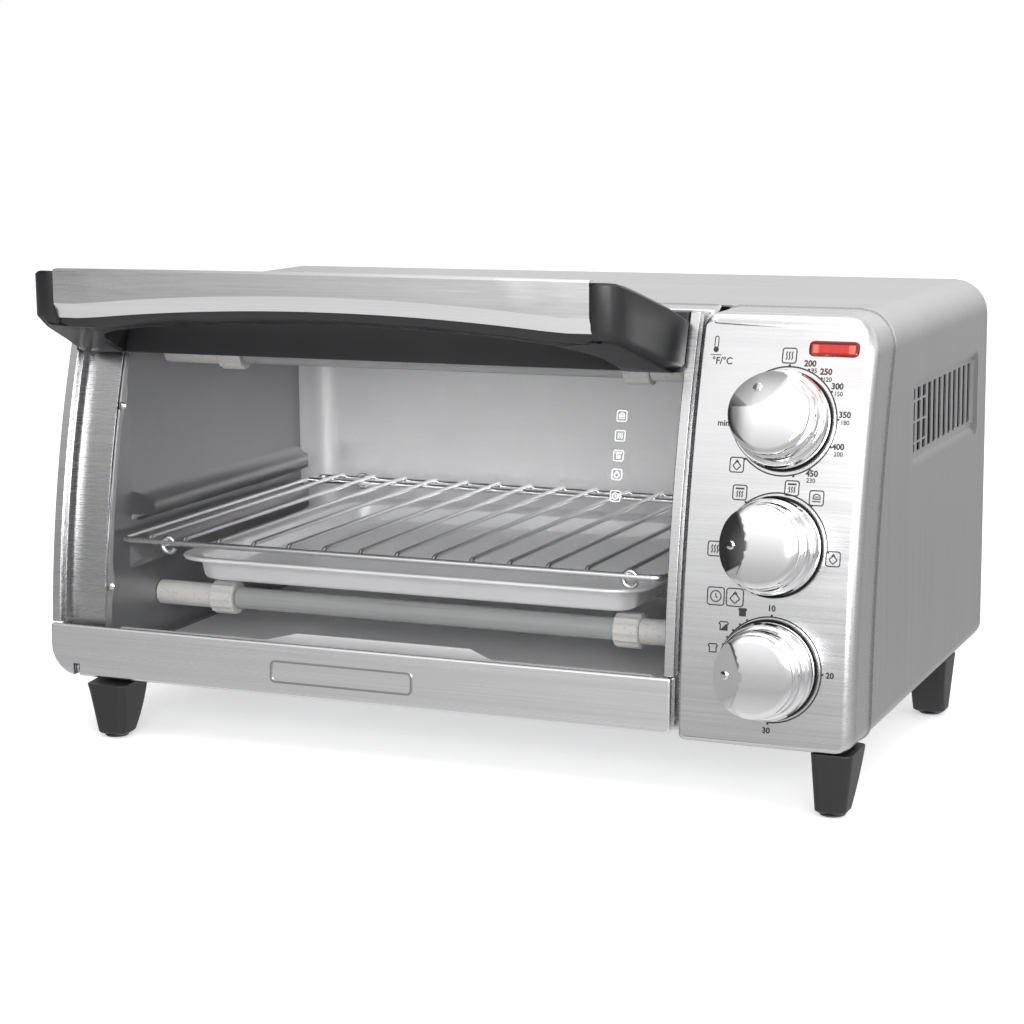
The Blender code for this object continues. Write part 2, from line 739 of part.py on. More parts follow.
def dial_pivot(dial, datum):
    """An empty on a dial's axis, its Z pointing out of the panel."""
    z = DIAL_HEIGHTS[dial]
    return empty_at(f"{dial}_axis", face_point(DIAL_X, z), datum, face_turn(z))


def knob_profile():
    """The knob's turned outline: a bore for the shaft, a stepped skirt and a domed face."""
    rim = 0.0182
    face_low = KNOB_HEIGHT - 0.0030
    profile = [(0, 0.0150), (SHAFT_RADIUS + GAP, 0.0150), (SHAFT_RADIUS + GAP, 0.0028)]
    profile += [(0.0205, 0.0028), (0.0207, 0.0048), (0.0196, 0.0062), (0.0188, 0.0100), (0.0176, 0.0118)]
    profile += [(0.0172, face_low - 0.0035), (rim + 0.0003, face_low - 0.0026)]
    profile += [(rim + 0.0003, face_low - 0.0008)]
    profile += [(rim - 0.0004, face_low)]
    profile += [((rim - 0.0004) * share, KNOB_HEIGHT - 0.0030 * share**2) for share in (0.75, 0.5, 0.25)]
    return profile + [(0, KNOB_HEIGHT)]


def build_dial(dial, datum):
    """A knob with its shaft, which turn together, and the ring on the panel round them."""
    pivot = dial_pivot(dial, datum)
    knob = piece(f"{dial}_knob", turned(knob_profile(), KNOB_SIDES), "chrome", pivot)
    shaft = rod(SHAFT_RADIUS, 0.0146 + 0.0125, 12, (0, 0, 1), (0, 0, -0.0125))
    piece(f"{dial}_shaft", shaft, "zinc", pivot)
    inner = SHAFT_HOLE_RADIUS + 0.0006
    ring = [(inner, 0.0004), (BEZEL_RADIUS, 0.0004), (BEZEL_RADIUS, 0.0010), (BEZEL_RADIUS - 0.0012, 0.0022)]
    piece(f"{dial}_bezel", turned(ring + [(inner, 0.0022)], KNOB_SIDES), "chrome", pivot)
    return knob


def build_control_body(name, dial, half_width, half_height, depth, datum):
    """The switch behind a dial: a box with the round nose that the shaft runs into."""
    pivot = bpy.data.objects[f"{dial}_axis"]
    front = -0.0165
    case = box(-half_width, half_width, -half_height, half_height, front - depth, front)
    body = piece(name, case, "zinc", pivot)
    nose_end = -BRACKET_SETBACK - SHEET - 0.0012
    nose = [(0, front - 0.002), (0.0070, front - 0.002), (0.0070, nose_end), (0, nose_end)]
    join(body, helper(f"{name}_nose", turned(nose, 20), pivot))
    bore = rod(SHAFT_RADIUS + GAP, 0.0100, 16, (0, 0, 1), (0, 0, -0.0128))
    cut(body, helper(f"{name}_bore", bore, pivot))
    return body


def build_control_bracket(datum):
    """The plate behind the panel that carries the three switches."""
    slab = curved_slab(0.1360, 0.1980, 0.0120, 0.1620, BRACKET_SETBACK, BRACKET_SETBACK + SHEET, 8)
    bracket = piece("control_bracket", slab, "zinc", datum)
    for dial, z in DIAL_HEIGHTS.items():
        centre = face_point(DIAL_X, z, -0.014)
        outward = face_point(DIAL_X, z, 0.0) - centre
        cut(bracket, helper(f"{dial}_bracket_hole", rod(0.0048, 0.012, 16, outward, centre), datum))
    return bracket


def build_lamp(datum):
    """The red lens in the panel and the neon lamp behind it."""
    piece("indicator_lens", lamp_block(LAMP_WIDTH, LAMP_HEIGHT, -0.0040, 0.0009), "red_lens", datum)
    centre = face_point(LAMP_X - 0.007, LAMP_Z, -0.0075)
    bulb = [(0, 0), (0.0018, 0.0006), (0.0024, 0.0020), (0.0024, 0.0120), (0.0018, 0.0134), (0, 0.0140)]
    piece("indicator_lamp", turned_along(bulb, 12, (1, 0, 0), centre), "glass", datum)


# ---------------------------------------------------------------- feet


class Foot:
    """One foot: a tapered leg, upright towards the middle of the oven and leaning in from its outer end."""

    DEPTH = 0.0260
    LEAN = 0.0060
    HOLLOW = 0.0068
    SHARES = (0.0, 0.25, 0.5, 0.72, 0.88, 0.96, 1.0)

    def __init__(self, name, x0, x1, left_taper, right_taper, outer_y, towards, step=0.0):
        self.name = name
        self.x0, self.x1 = x0, x1
        self.left_taper, self.right_taper = left_taper, right_taper
        self.outer_y, self.towards = outer_y, towards
        self.step = step

    def ring(self, share):
        """The foot's outline at a share of its height, counted from the top."""
        z = -GAP - share * (FOOT_HEIGHT - 0.0012 - GAP)
        near = self.outer_y + self.towards * self.LEAN * share
        far = self.outer_y + self.towards * (self.DEPTH - self.HOLLOW * share**2.4)
        x0 = self.x0 + self.left_taper * share
        x1 = self.x1 - self.right_taper * share
        tuck = 0.0012 if share == 1.0 else 0.0
        low, high = min(near, far) + tuck, max(near, far) - tuck
        outline = rounded_rectangle(x0 + tuck, x1 - tuck, low, high, 0.0034, 3)
        lowered = self.step if share == 0.0 else 0.0
        return [(x, y, z - (lowered if y < 0.0155 else 0.0)) for x, y in outline]

    def build(self, datum):
        """The leg and the round glide under it."""
        piece(f"foot_{self.name}", skin([self.ring(share) for share in self.SHARES]), "black_plastic", datum)
        bottom = self.ring(1.0)
        xs, ys = [p[0] for p in bottom], [p[1] for p in bottom]
        centre = ((min(xs) + max(xs)) / 2, (min(ys) + max(ys)) / 2, -FOOT_HEIGHT)
        profile = [(0, 0), (0.0054, 0), (0.0058, 0.0003), (0.0058, 0.0009), (0, 0.0009)]
        piece(f"glide_{self.name}", turned_along(profile, 18, (0, 0, 1), centre), "rubber", datum)


def build_feet(datum):
    """Four feet. The front left one is cut down at the front, where the door's foot swings over it."""
    Foot("front_left", -0.1820, -0.1602, 0.0018, 0.0048, 0.0008, 1, step=0.0018).build(datum)
    Foot("front_right", 0.1856, 0.2046, 0.0003, 0.0045, 0.0008, 1).build(datum)
    Foot("rear_left", -0.2010, -0.1826, 0.0018, 0.0004, 0.2130, -1).build(datum)
    Foot("rear_right", 0.1826, 0.2010, 0.0004, 0.0018, 0.2130, -1).build(datum)


# ---------------------------------------------------------------- door


def door_pivot(datum):
    """The empty on the door's hinge axis, which carries every piece that swings."""
    return empty_at("door_hinge_axis", (DOOR_CENTRE, HINGE_Y, HINGE_Z), datum)


def door_piece(name, bm, finish, pivot):
    """A piece of the door, its points given from the datum."""
    return piece(name, bm, finish, pivot, pivot.location)


def build_door_panel(pivot):
    """The glass, its side trims and the top rail that holds its upper edge."""
    inner_left, inner_right = DOOR_LEFT + TRIM_WIDTH, DOOR_RIGHT - TRIM_WIDTH
    back = GLASS_SETBACK + GLASS_THICKNESS
    glass = curved_slab(inner_left + GAP, inner_right - GAP, 0.0086, 0.1800, GLASS_SETBACK, back, 14)
    door_piece("door_glass", glass, "glass", pivot)
    trims = (("left", DOOR_LEFT, inner_left), ("right", inner_right, DOOR_RIGHT))
    for side, x0, x1 in trims:
        trim = curved_slab(x0, x1, STRIP_HEIGHT + 0.0006, DOOR_TOP, 0.0072, 0.0126, 14)
        door_piece(f"door_trim_{side}", trim, "brushed_steel", pivot)
    low, over, top = RAIL_BOTTOM, 0.1805, DOOR_TOP
    front, middle, rear = RAIL_SETBACK, GLASS_SETBACK - 0.0005, 0.0126
    section = [(low, front), (low, middle), (over, middle), (over, rear), (top, rear), (top, front)]
    ring = [(face_y(z, setback), z) for z, setback in section]
    rail = skin([[(x, y, z) for y, z in ring] for x in (inner_left + GAP, inner_right - GAP)])
    door_piece("door_top_rail", rail, "black_plastic", pivot)


def build_bottom_strip(pivot):
    """The stainless strip along the door's foot, notched at its left end for the hinge arm."""
    wall = 0.0120 - STRIP_SETBACK
    cap = Cap(
        -HALF_WIDTH, STRIP_RIGHT, 0.0, STRIP_HEIGHT, STRIP_SETBACK,
        corners=(0.0150, 0.0030, 0.0014, 0.0014),
        edges=(0.0012, 0.0012, 0.0012, 0.0012),
        depths=(wall, wall, wall, 0.0013),
        rows=3,
    )
    strip = door_piece("door_bottom_strip", cap.build(), "brushed_steel", pivot)
    left, right = HINGE_X
    face_notch = box(left - 0.0018, left + 0.0018, 0.0, 0.0160, -0.002, 0.0062)
    lower_notch = box(right - 0.0018, right + 0.0018, 0.0074, 0.0160, -0.002, 0.0062)
    for name, bm in (("strip_notch_left", face_notch), ("strip_notch_right", lower_notch)):
        cut(strip, helper(name, bm, pivot, pivot.location))
    return strip


def build_hinge_rail(pivot):
    """The bar inside the strip that holds the glass's foot and the two hinge pins."""
    rail = door_piece("door_hinge_rail", box(-0.1940, 0.1155, 0.0079, 0.0117, 0.0018, 0.0080), "zinc", pivot)
    for i, x in enumerate(HINGE_X):
        slot = box(x - 0.0016, x + 0.0016, 0.0, 0.020, -0.001, 0.0066)
        bore = rod(EYE_HOLE_RADIUS, 0.0060, 16, (1, 0, 0), (x - 0.0030, HINGE_Y, HINGE_Z))
        cut(rail, helper(f"rail_slot_{i}", slot, pivot, pivot.location))
        cut(rail, helper(f"rail_bore_{i}", bore, pivot, pivot.location))
    for side, x in zip(("left", "right"), HINGE_X):
        pin = rod(PIN_RADIUS, 0.0054, 12, (1, 0, 0), (x - 0.0027, HINGE_Y, HINGE_Z))
        door_piece(f"hinge_pin_{side}", pin, "zinc", pivot)
    return rail


def build_hinge_arms(datum):
    """The two arms that reach forward from the base to carry the door's pins."""
    for side, x in zip(("left", "right"), HINGE_X):
        half = 0.0006
        eye = arc((HINGE_Y, HINGE_Z), 0.0023, 60, 300, 12)
        outline = eye + [(0.0221, HINGE_Z - 0.0020), (0.0221, HINGE_Z + 0.0020)]
        arm = skin([[(px, y, z) for y, z in outline] for px in (x - half, x + half)])
        arm = piece(f"hinge_arm_{side}", arm, "zinc", datum)
        hole = rod(EYE_HOLE_RADIUS, 0.004, 16, (1, 0, 0), (x - 0.002, HINGE_Y, HINGE_Z))
        cut(arm, helper(f"hinge_arm_{side}_hole", hole, datum))


def handle_front(offset):
    """The Y of the stainless strip's face, bowed slightly forward in the middle."""
    share = min(abs(offset) / STRIP_REACH, 1.0)
    return HANDLE_FRONT - HANDLE_BOW * (1 - share * share)


def handle_top(y):
    """The height of the handle's top surface, which falls towards the door."""
    run = max(y + 0.0175, 0.0)
    return HANDLE_TOP - 0.30 * run - 0.9 * run * run


def handle_bottom(y, offset):
    """The height of the underside, which falls towards the door and arches up along the bar."""
    run = max(y + 0.0200, 0.0)
    arch = ARCH * max(0.0, 1 - (offset / 0.120) ** 2)
    return 0.1772 - 0.34 * run - 0.7 * run * run + arch


def handle_stations():
    """Pairs of plan points, outer then inner, from the right-hand end of the staple to the bar's middle."""
    ends = [
        ((0.1590, 0.0380), (0.1293, 0.0380)),
        ((0.1562, 0.0230), (0.1290, 0.0230)),
        ((0.1532, 0.0090), (0.1275, 0.0120)),
        ((0.1505, -0.0050), (0.1240, 0.0050)),
        ((0.1490, -0.0120), (0.1190, -0.0005)),
        ((0.1468, -0.0165), (0.1150, -0.0030)),
        ((0.1434, -0.0190), (0.1110, -0.0042)),
        ((0.1390, -0.0200), (0.1075, -0.0050)),
        ((STRIP_REACH + 0.0004, HANDLE_FRONT), (0.1058, HANDLE_BACK)),
    ]
    bar = []
    for offset in (STRIP_REACH + 0.0002, 0.120, 0.105, 0.090, 0.070, 0.050, 0.025, 0.0):
        inner = offset if offset <= 0.090 else 0.090 + (offset - 0.090) * 0.35
        bar.append(((offset, handle_front(offset) + STRIP_RECESS), (inner, HANDLE_BACK)))
    return ends, bar


def handle_section(outer, inner, on_bar, at_door):
    """One ring of the moulding between an outer and an inner plan point."""
    start, end = Vector(outer), Vector(inner)
    across = (end - start).normalized()
    inwards = Vector((0, 1)) if start.x < 0.1395 else across
    width = (end - start).length
    foot = 0.0100 if on_bar else 0.0045
    places = [(0.0014, 1, 0.0), (0.0, 1, -0.0014), (0.0, 0, foot), (0.0034, 0, 0.0032 if on_bar else 0.0010)]
    places += [(0.0048, 0, 0.0), (width - 0.0016, 0, 0.0), (width, 0, 0.0016)]
    places += [(width, 1, -0.0016), (width - 0.0016, 1, 0.0)]
    ring = []
    for reach, from_top, lift in places:
        x, y = start + (inwards if reach < 0.0050 else across) * reach
        lifted = -0.0004 if on_bar else 0.0
        z = handle_top(y) + lifted + lift if from_top else handle_bottom(y, x) + lift
        if at_door:
            y = face_y(z, RAIL_SETBACK) - HANDLE_GAP
            z = (handle_top(y) if from_top else handle_bottom(y, x)) + lift
            y = face_y(z, RAIL_SETBACK) - HANDLE_GAP
        ring.append((DOOR_CENTRE + x, y, z))
    return ring


def build_handle(pivot):
    """The black moulding: an arm at each end and the bar between them."""
    ends, bar = handle_stations()
    rings = [handle_section(o, i, False, k == 0) for k, (o, i) in enumerate(ends)]
    rings += [handle_section(o, i, True, False) for o, i in bar]
    mirrored = [[(2 * DOOR_CENTRE - x, y, z) for x, y, z in ring] for ring in reversed(rings[:-1])]
    door_piece("door_handle", skin(rings + mirrored), "black_plastic", pivot)


def build_handle_strip(pivot):
    """The stainless strip clipped on the front of the bar, its lower edge turned back."""
    rings = []
    reach = STRIP_REACH - 0.0002
    for i in range(-12, 13):
        offset = reach * i / 12
        front = handle_front(offset)
        top = HANDLE_TOP + 0.0010 + 0.0008 * (1 - (i / 12) ** 2)
        low = handle_bottom(HANDLE_FRONT, offset) + 0.0024
        outer = [(front + 0.0050, top), (front + 0.0008, top), (front, top - 0.0010)]
        outer += [(front, low + 0.0070), (front + 0.0034, low)]
        inner = [(front + 0.0040, low + 0.0008), (front + SHEET, low + 0.0074)]
        inner += [(front + SHEET, top - 0.0012), (front + 0.0050, top - 0.0008)]
        rings.append([(DOOR_CENTRE + offset, y, z) for y, z in outer + inner])
    door_piece("handle_strip", skin(rings), "brushed_steel", pivot)


# ---------------------------------------------------------------- rack and pan


def build_rack(slide):
    """The wire rack: a bent rim rod, wires across it, a cross rod and a loop at each corner."""
    corner = 0.006
    outline = rounded_rectangle(RACK_LEFT, RACK_RIGHT, RACK_FRONT, RACK_BACK, corner, 4)
    rim = wire([(x, y, RACK_Z) for x, y in outline], ROD_RADIUS, 8, closed=True)
    rack = piece("wire_rack", rim, "chrome", slide)
    over = RACK_Z + ROD_RADIUS + WIRE_RADIUS - 0.0006
    for i in range(WIRE_COUNT):
        x = WIRE_FIRST + WIRE_PITCH * i
        path = [(x, RACK_FRONT - 0.0004, over - 0.0010), (x, RACK_FRONT + 0.0024, over)]
        path += [(x, RACK_BACK - 0.0024, over), (x, RACK_BACK + 0.0004, over - 0.0010)]
        join(rack, helper(f"rack_wire_{i + 1:02d}", wire(path, WIRE_RADIUS, 6), slide))
    cross = [(RACK_LEFT, 0.2200, RACK_Z), (RACK_RIGHT, 0.2200, RACK_Z)]
    join(rack, helper("rack_cross_rod", wire(cross, ROD_RADIUS, 8), slide))
    for i, x in enumerate((-0.1452, 0.0952)):
        for j, y in enumerate((RACK_FRONT, RACK_BACK)):
            turn = arc((0, 0), 1, 0, 330, 11)
            loop = [(x + 0.0052 * dx, y, RACK_Z - 0.0008 + 0.0060 * dz) for dx, dz in turn]
            join(rack, helper(f"rack_loop_{i}{j}", wire(loop, WIRE_RADIUS, 6, closed=True), slide))
    return rack


def build_baking_pan(slide):
    """The shallow pan nested under the rack, with a rolled rim."""
    x0, x1, y0, y1 = PAN
    rings = []
    floor = PAN_RIM_Z - PAN_DEPTH
    flange, lean = PAN_FLANGE, 0.0035
    levels = [(-flange, PAN_RIM_Z, 0.020), (0, PAN_RIM_Z, 0.014), (lean - 0.001, floor + 0.0020, 0.012)]
    levels += [(lean + 0.001, floor, 0.010)]
    under = [(lean + 0.001 - 0.0004, floor - SHEET, 0.0106), (lean - 0.001 - SHEET, floor + 0.0014, 0.0126)]
    under += [(-SHEET, PAN_RIM_Z - SHEET, 0.0146), (-flange, PAN_RIM_Z - SHEET, 0.020)]
    for inset, z, radius in levels[::-1] + under[::-1]:
        outline = rounded_rectangle(x0 + inset, x1 - inset, y0 + inset, y1 - inset, radius, 4)
        rings.append([(x, y, z) for x, y in outline])
    return piece("baking_pan", skin(rings), "aluminium", slide)


# ---------------------------------------------------------------- assembly


def build_body(datum):
    """The shells, the cavity and what is fixed inside them."""
    build_outer_cover(datum)
    build_control_panel(datum)
    build_front_frame(datum)
    build_rear_panel(datum)
    build_cord_gland(datum)
    build_base_pan(datum)
    build_side_wall("cavity_left_wall", CAVITY_LEFT, 1, datum)
    build_side_wall("cavity_right_wall", CAVITY_RIGHT, -1, datum)
    build_rear_wall(datum)
    build_roof(datum)
    build_crumb_tray(datum)
    for name in HEATERS:
        build_heater(name, datum)
    build_feet(datum)
    build_hinge_arms(datum)


def build_controls(datum):
    """The dials, the switches behind them, their bracket and the lamp."""
    for dial in DIAL_HEIGHTS:
        build_dial(dial, datum)
    build_control_body("thermostat", "temperature", 0.018, 0.014, 0.022, datum)
    build_control_body("function_switch", "function", 0.020, 0.018, 0.026, datum)
    build_control_body("timer", "timer", 0.022, 0.019, 0.034, datum)
    build_control_bracket(datum)
    build_lamp(datum)


def build_door(datum):
    """Everything that swings on the door hinge."""
    pivot = door_pivot(datum)
    build_door_panel(pivot)
    build_bottom_strip(pivot)
    build_hinge_rail(pivot)
    build_handle(pivot)
    build_handle_strip(pivot)


def main():
    """Builds the oven."""
    clear_scene()
    datum = empty_at("oven_datum", (0, DATUM_Y, FOOT_HEIGHT))
    build_body(datum)
    build_controls(datum)
    build_door(datum)
    slide = empty_at("rack_slide_axis", (0, 0, 0), datum)
    build_rack(slide)
    build_baking_pan(slide)


main()
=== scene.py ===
"""A countertop toaster oven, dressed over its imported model: shells, door, dials, rack and heaters."""

import json
import logging
import math
from collections.abc import Iterable, Sequence
from dataclasses import dataclass
from enum import Enum

import bmesh
import bpy
from mathutils import Matrix, Vector


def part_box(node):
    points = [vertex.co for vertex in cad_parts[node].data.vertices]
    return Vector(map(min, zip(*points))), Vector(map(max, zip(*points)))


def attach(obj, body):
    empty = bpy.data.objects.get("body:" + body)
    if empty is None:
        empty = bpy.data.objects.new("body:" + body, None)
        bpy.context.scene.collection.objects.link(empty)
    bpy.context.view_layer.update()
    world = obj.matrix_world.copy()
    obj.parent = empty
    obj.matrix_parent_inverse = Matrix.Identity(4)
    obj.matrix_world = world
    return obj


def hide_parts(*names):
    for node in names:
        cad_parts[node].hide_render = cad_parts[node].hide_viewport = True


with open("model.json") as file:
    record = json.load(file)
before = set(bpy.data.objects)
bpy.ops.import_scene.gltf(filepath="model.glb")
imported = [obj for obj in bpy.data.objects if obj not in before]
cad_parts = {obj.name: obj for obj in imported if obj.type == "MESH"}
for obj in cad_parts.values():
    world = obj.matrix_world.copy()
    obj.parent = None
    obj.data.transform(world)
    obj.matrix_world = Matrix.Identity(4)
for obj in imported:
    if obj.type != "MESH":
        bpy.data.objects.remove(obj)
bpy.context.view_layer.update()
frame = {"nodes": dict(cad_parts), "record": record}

LOG = logging.getLogger("toaster_oven")
MM = 0.001
WELD = 1e-6

Colour = tuple[float, float, float, float]
Place = tuple[float, float, float]
Outline = Sequence[tuple[float, float]]


# ---------------------------------------------------------------- node trees


class Signal:
    """A socket of a node tree that can be used in arithmetic."""

    def __init__(self, graph: "Graph", socket: bpy.types.NodeSocket) -> None:
        """Keeps the tree and the socket."""
        self.graph = graph
        self.socket = socket

    def math(self, operation: str, *values: "Signal | float") -> "Signal":
        """The result of one Math node."""
        return self.graph.node("ShaderNodeMath", {"operation": operation}, dict(enumerate(values)))

    def __add__(self, other: "Signal | float") -> "Signal":
        """self + other."""
        return self.math("ADD", self, other)

    __radd__ = __add__

    def __sub__(self, other: "Signal | float") -> "Signal":
        """self - other."""
        return self.math("SUBTRACT", self, other)

    def __rsub__(self, other: float) -> "Signal":
        """other - self."""
        return self.math("SUBTRACT", other, self)

    def __mul__(self, other: "Signal | float") -> "Signal":
        """self * other."""
        return self.math("MULTIPLY", self, other)

    __rmul__ = __mul__

    def __truediv__(self, other: "Signal | float") -> "Signal":
        """self / other."""
        return self.math("DIVIDE", self, other)

    def __pow__(self, other: float) -> "Signal":
        """self ** other."""
        return self.math("POWER", self, other)

    def between(self, low: float, high: float) -> "Signal":
        """The value kept between two limits."""
        return self.math("MINIMUM", self.math("MAXIMUM", self, low), high)


class Graph:
    """A node tree that is being written."""

    def __init__(self, tree: bpy.types.NodeTree) -> None:
        """Keeps the tree."""
        self.tree = tree

    def node(
        self,
        kind: str,
        settings: dict[str, object] | None = None,
        values: dict[int | str, object] | None = None,
        output: int | str = 0,
    ) -> Signal:
        """Adds a node, sets it and feeds its sockets.

        Args:
            kind: The node's type.
            settings: Its own settings. "stops" holds a ramp's positions and colours.
            values: Links or plain values by socket name or number.
            output: The output that is wanted.

        Returns:
            That output.
        """
        made = self.tree.nodes.new(kind)
        for name, setting in (settings or {}).items():
            if name == "stops":
                self.fill_ramp(made.color_ramp, setting)
            else:
                setattr(made, name, setting)
        for key, value in (values or {}).items():
            if isinstance(value, Signal):
                self.tree.links.new(value.socket, made.inputs[key])
            else:
                made.inputs[key].default_value = value
        return Signal(self, made.outputs[output])

    @staticmethod
    def fill_ramp(ramp: bpy.types.ColorRamp, stops: Sequence[tuple[float, Colour]]) -> None:
        """Gives a ramp its stops.

        Args:
            ramp: The ramp.
            stops: Its positions and colours.
        """
        while len(ramp.elements) < len(stops):
            ramp.elements.new(1.0)
        for element, (position, colour) in zip(ramp.elements, stops):
            element.position = position
            element.color = colour

    def place(self) -> Signal:
        """The object's own coordinates in metres."""
        return self.node("ShaderNodeTexCoord", output="Object")

    def noise(self, scale: Place, detail: float = 3.0) -> Signal:
        """Noise with so many waves per metre along each axis, as a value about 0.5.

        Args:
            scale: The waves per metre along each axis.
            detail: How many finer layers there are.

        Returns:
            The result.
        """
        stretched = self.node(
            "ShaderNodeMapping", {"vector_type": "POINT"}, {"Vector": self.place(), "Scale": scale}
        )
        return self.node("ShaderNodeTexNoise", None, {"Vector": stretched, "Scale": 1.0, "Detail": detail})

    def blend(self, share: "Signal | float", first: object, second: object) -> Signal:
        """A colour between two colours."""
        return self.node("ShaderNodeMix", {"data_type": "RGBA"}, {0: share, 6: first, 7: second}, 2)

    def bump(self, height: Signal, depth: float) -> Signal:
        """The normal of a surface raised by so many metres."""
        values = {"Strength": 1.0, "Distance": depth, "Height": height}
        return self.node("ShaderNodeBump", None, values, "Normal")

    def vector(self, operation: str, first: object, second: object, output: str = "Value") -> Signal:
        """The result of one Vector Math node."""
        return self.node("ShaderNodeVectorMath", {"operation": operation}, {0: first, 1: second}, output)

    def part(self, vector: Signal, axis: str) -> Signal:
        """One component of a vector."""
        return self.node("ShaderNodeSeparateXYZ", None, {0: vector}, axis)

    def ramp(self, share: Signal, stops: Sequence[tuple[float, float]]) -> Signal:
        """A grey that changes with a value, from stops of position and brightness."""
        shades = [(at, (v, v, v, 1)) for at, v in stops]
        return self.node("ShaderNodeValToRGB", {"stops": shades}, {"Fac": share})

    def edges(self, radius: float) -> Signal:
        """How close a point is to a sharp edge, from 0 to 1."""
        rounded = self.node("ShaderNodeBevel", {"samples": 4}, {"Radius": radius})
        flat = self.node("ShaderNodeNewGeometry", output="Normal")
        return ((1.0 - self.vector("DOT_PRODUCT", rounded, flat)) * 4.0).between(0.0, 1.0)


def shade(colour: Colour, share: float) -> Colour:
    """A colour made darker or lighter."""
    return (colour[0] * share, colour[1] * share, colour[2] * share, colour[3])


# ---------------------------------------------------------------- finishes


@dataclass(frozen=True)
class Finish:
    """A surface, with the slot of the record that it belongs to."""

    label: str
    slot: str
    colour: Colour
    roughness: float = 0.4

    def material(self) -> bpy.types.Material:
        """The material, made the first time it is asked for.

        Returns:
            The material.
        """
        made = bpy.data.materials.get(self.label)
        if made is None:
            made = bpy.data.materials.new(self.label)
            made.use_nodes = True
            shader = made.node_tree.nodes["Principled BSDF"]
            self.paint(Graph(made.node_tree), shader)
        return made

    def paint(self, graph: Graph, shader: bpy.types.Node) -> None:
        """Feeds the shader of a plain moulded surface."""
        grain = graph.noise((900, 900, 900), 2.0)
        self.feed(graph, shader, "Base Color", graph.blend(grain, shade(self.colour, 0.9), self.colour))
        self.feed(graph, shader, "Roughness", self.roughness + (grain - 0.5) * 0.1)

    @staticmethod
    def feed(graph: Graph, shader: bpy.types.Node, name: str, value: Signal | object) -> None:
        """Links a value to one socket of the shader, or sets it.

        Args:
            graph: The node tree that is written.
            shader: The shader node that is fed.
            name: The socket's name.
            value: A link or a plain value.
        """
        if isinstance(value, Signal):
            graph.tree.links.new(value.socket, shader.inputs[name])
        else:
            shader.inputs[name].default_value = value


@dataclass(frozen=True)
class Brushed(Finish):
    """Stainless steel with a fine grain: few waves along it and many across it."""

    grain: Place = (9.0, 1500.0, 1500.0)
    tooth: float = 0.0000025
    contrast: float = 0.06
    # Where the painted red light of a lamp is centred on the steel, and how far it reaches.
    painted_lamp_light: Place | None = None
    painted_lamp_light_reach: float = 0.020

    def paint(self, graph: Graph, shader: bpy.types.Node) -> None:
        """Feeds the shader with fine streaks and broader bands, and, if a lamp's place is given, with
        painted light: a red emission on the steel round the lamp, standing in for the lamp's light falling
        on it.

        Args:
            graph: The node tree that is written.
            shader: The shader node that is fed.
        """
        fine = graph.noise(self.grain, 4.0)
        wide = graph.noise(tuple(s * 0.14 for s in self.grain), 2.0)
        cloud = graph.noise((14.0, 14.0, 14.0), 2.0)
        streak = (fine * 0.65 + wide * 0.35 - 0.5) * 2.2 + 0.5
        dark, light = shade(self.colour, 1.0 - self.contrast), shade(self.colour, 1.0 + self.contrast)
        tone = graph.blend(streak.between(0.0, 1.0), dark, light)
        self.feed(graph, shader, "Metallic", 1.0)
        self.feed(graph, shader, "Base Color", tone)
        rough = self.roughness + (streak - 0.5) * 0.10 + (cloud - 0.5) * 0.06
        self.feed(graph, shader, "Roughness", rough.between(0.05, 0.9))
        self.feed(graph, shader, "Normal", graph.bump(streak, self.tooth))
        # Painted light: the steel itself emits red round the lamp, fading with distance, in place of the
        # lamp's light falling on the panel.
        if self.painted_lamp_light is not None:
            reach = graph.vector("DISTANCE", graph.place(), self.painted_lamp_light)
            near = (1.0 - reach / self.painted_lamp_light_reach).between(0.0, 1.0) ** 2.0
            painted_lamp_light = graph.blend(near, (0, 0, 0, 1), (1.0, 0.10, 0.07, 1))
            self.feed(graph, shader, "Emission Color", painted_lamp_light)
            self.feed(graph, shader, "Emission Strength", 0.55)


@dataclass(frozen=True)
class Plated(Finish):
    """Polished plating, a little uneven."""

    def paint(self, graph: Graph, shader: bpy.types.Node) -> None:
        """Feeds the shader with a faint waviness and fingerprints.

        Args:
            graph: The node tree that is written.
            shader: The shader node that is fed.
        """
        wave = graph.noise((70.0, 70.0, 70.0), 1.0)
        film = graph.noise((320.0, 320.0, 320.0), 3.0)
        self.feed(graph, shader, "Metallic", 1.0)
        self.feed(graph, shader, "Base Color", graph.blend(film, shade(self.colour, 0.95), self.colour))
        self.feed(graph, shader, "Roughness", (self.roughness + (film - 0.5) * 0.05).between(0.01, 1.0))
        self.feed(graph, shader, "Normal", graph.bump(wave, 0.00002))


@dataclass(frozen=True)
class Moulded(Finish):
    """Black plastic from a spark-eroded mould, paler and a little smoother along its sharp edges."""

    stipple: float = 2600.0
    tooth: float = 0.00003

    def paint(self, graph: Graph, shader: bpy.types.Node) -> None:
        """Feeds the shader with stipple, a bloom and paler sharp edges.

        Args:
            graph: The node tree that is written.
            shader: The shader node that is fed.
        """
        fine = graph.noise((self.stipple,) * 3, 2.0)
        bloom = graph.noise((24.0, 24.0, 24.0), 3.0)
        # The sharp edges that the Bevel node finds are made paler and a little smoother.
        paler_edges = graph.edges(0.0007)
        base = graph.blend(bloom, shade(self.colour, 0.8), shade(self.colour, 1.3))
        self.feed(graph, shader, "Base Color", graph.blend(paler_edges * 0.5, base, shade(self.colour, 3.5)))
        rough = self.roughness + (fine - 0.5) * 0.16 + (bloom - 0.5) * 0.08 - paler_edges * 0.08
        self.feed(graph, shader, "Roughness", rough.between(0.1, 0.95))
        self.feed(graph, shader, "Normal", graph.bump(fine, self.tooth))


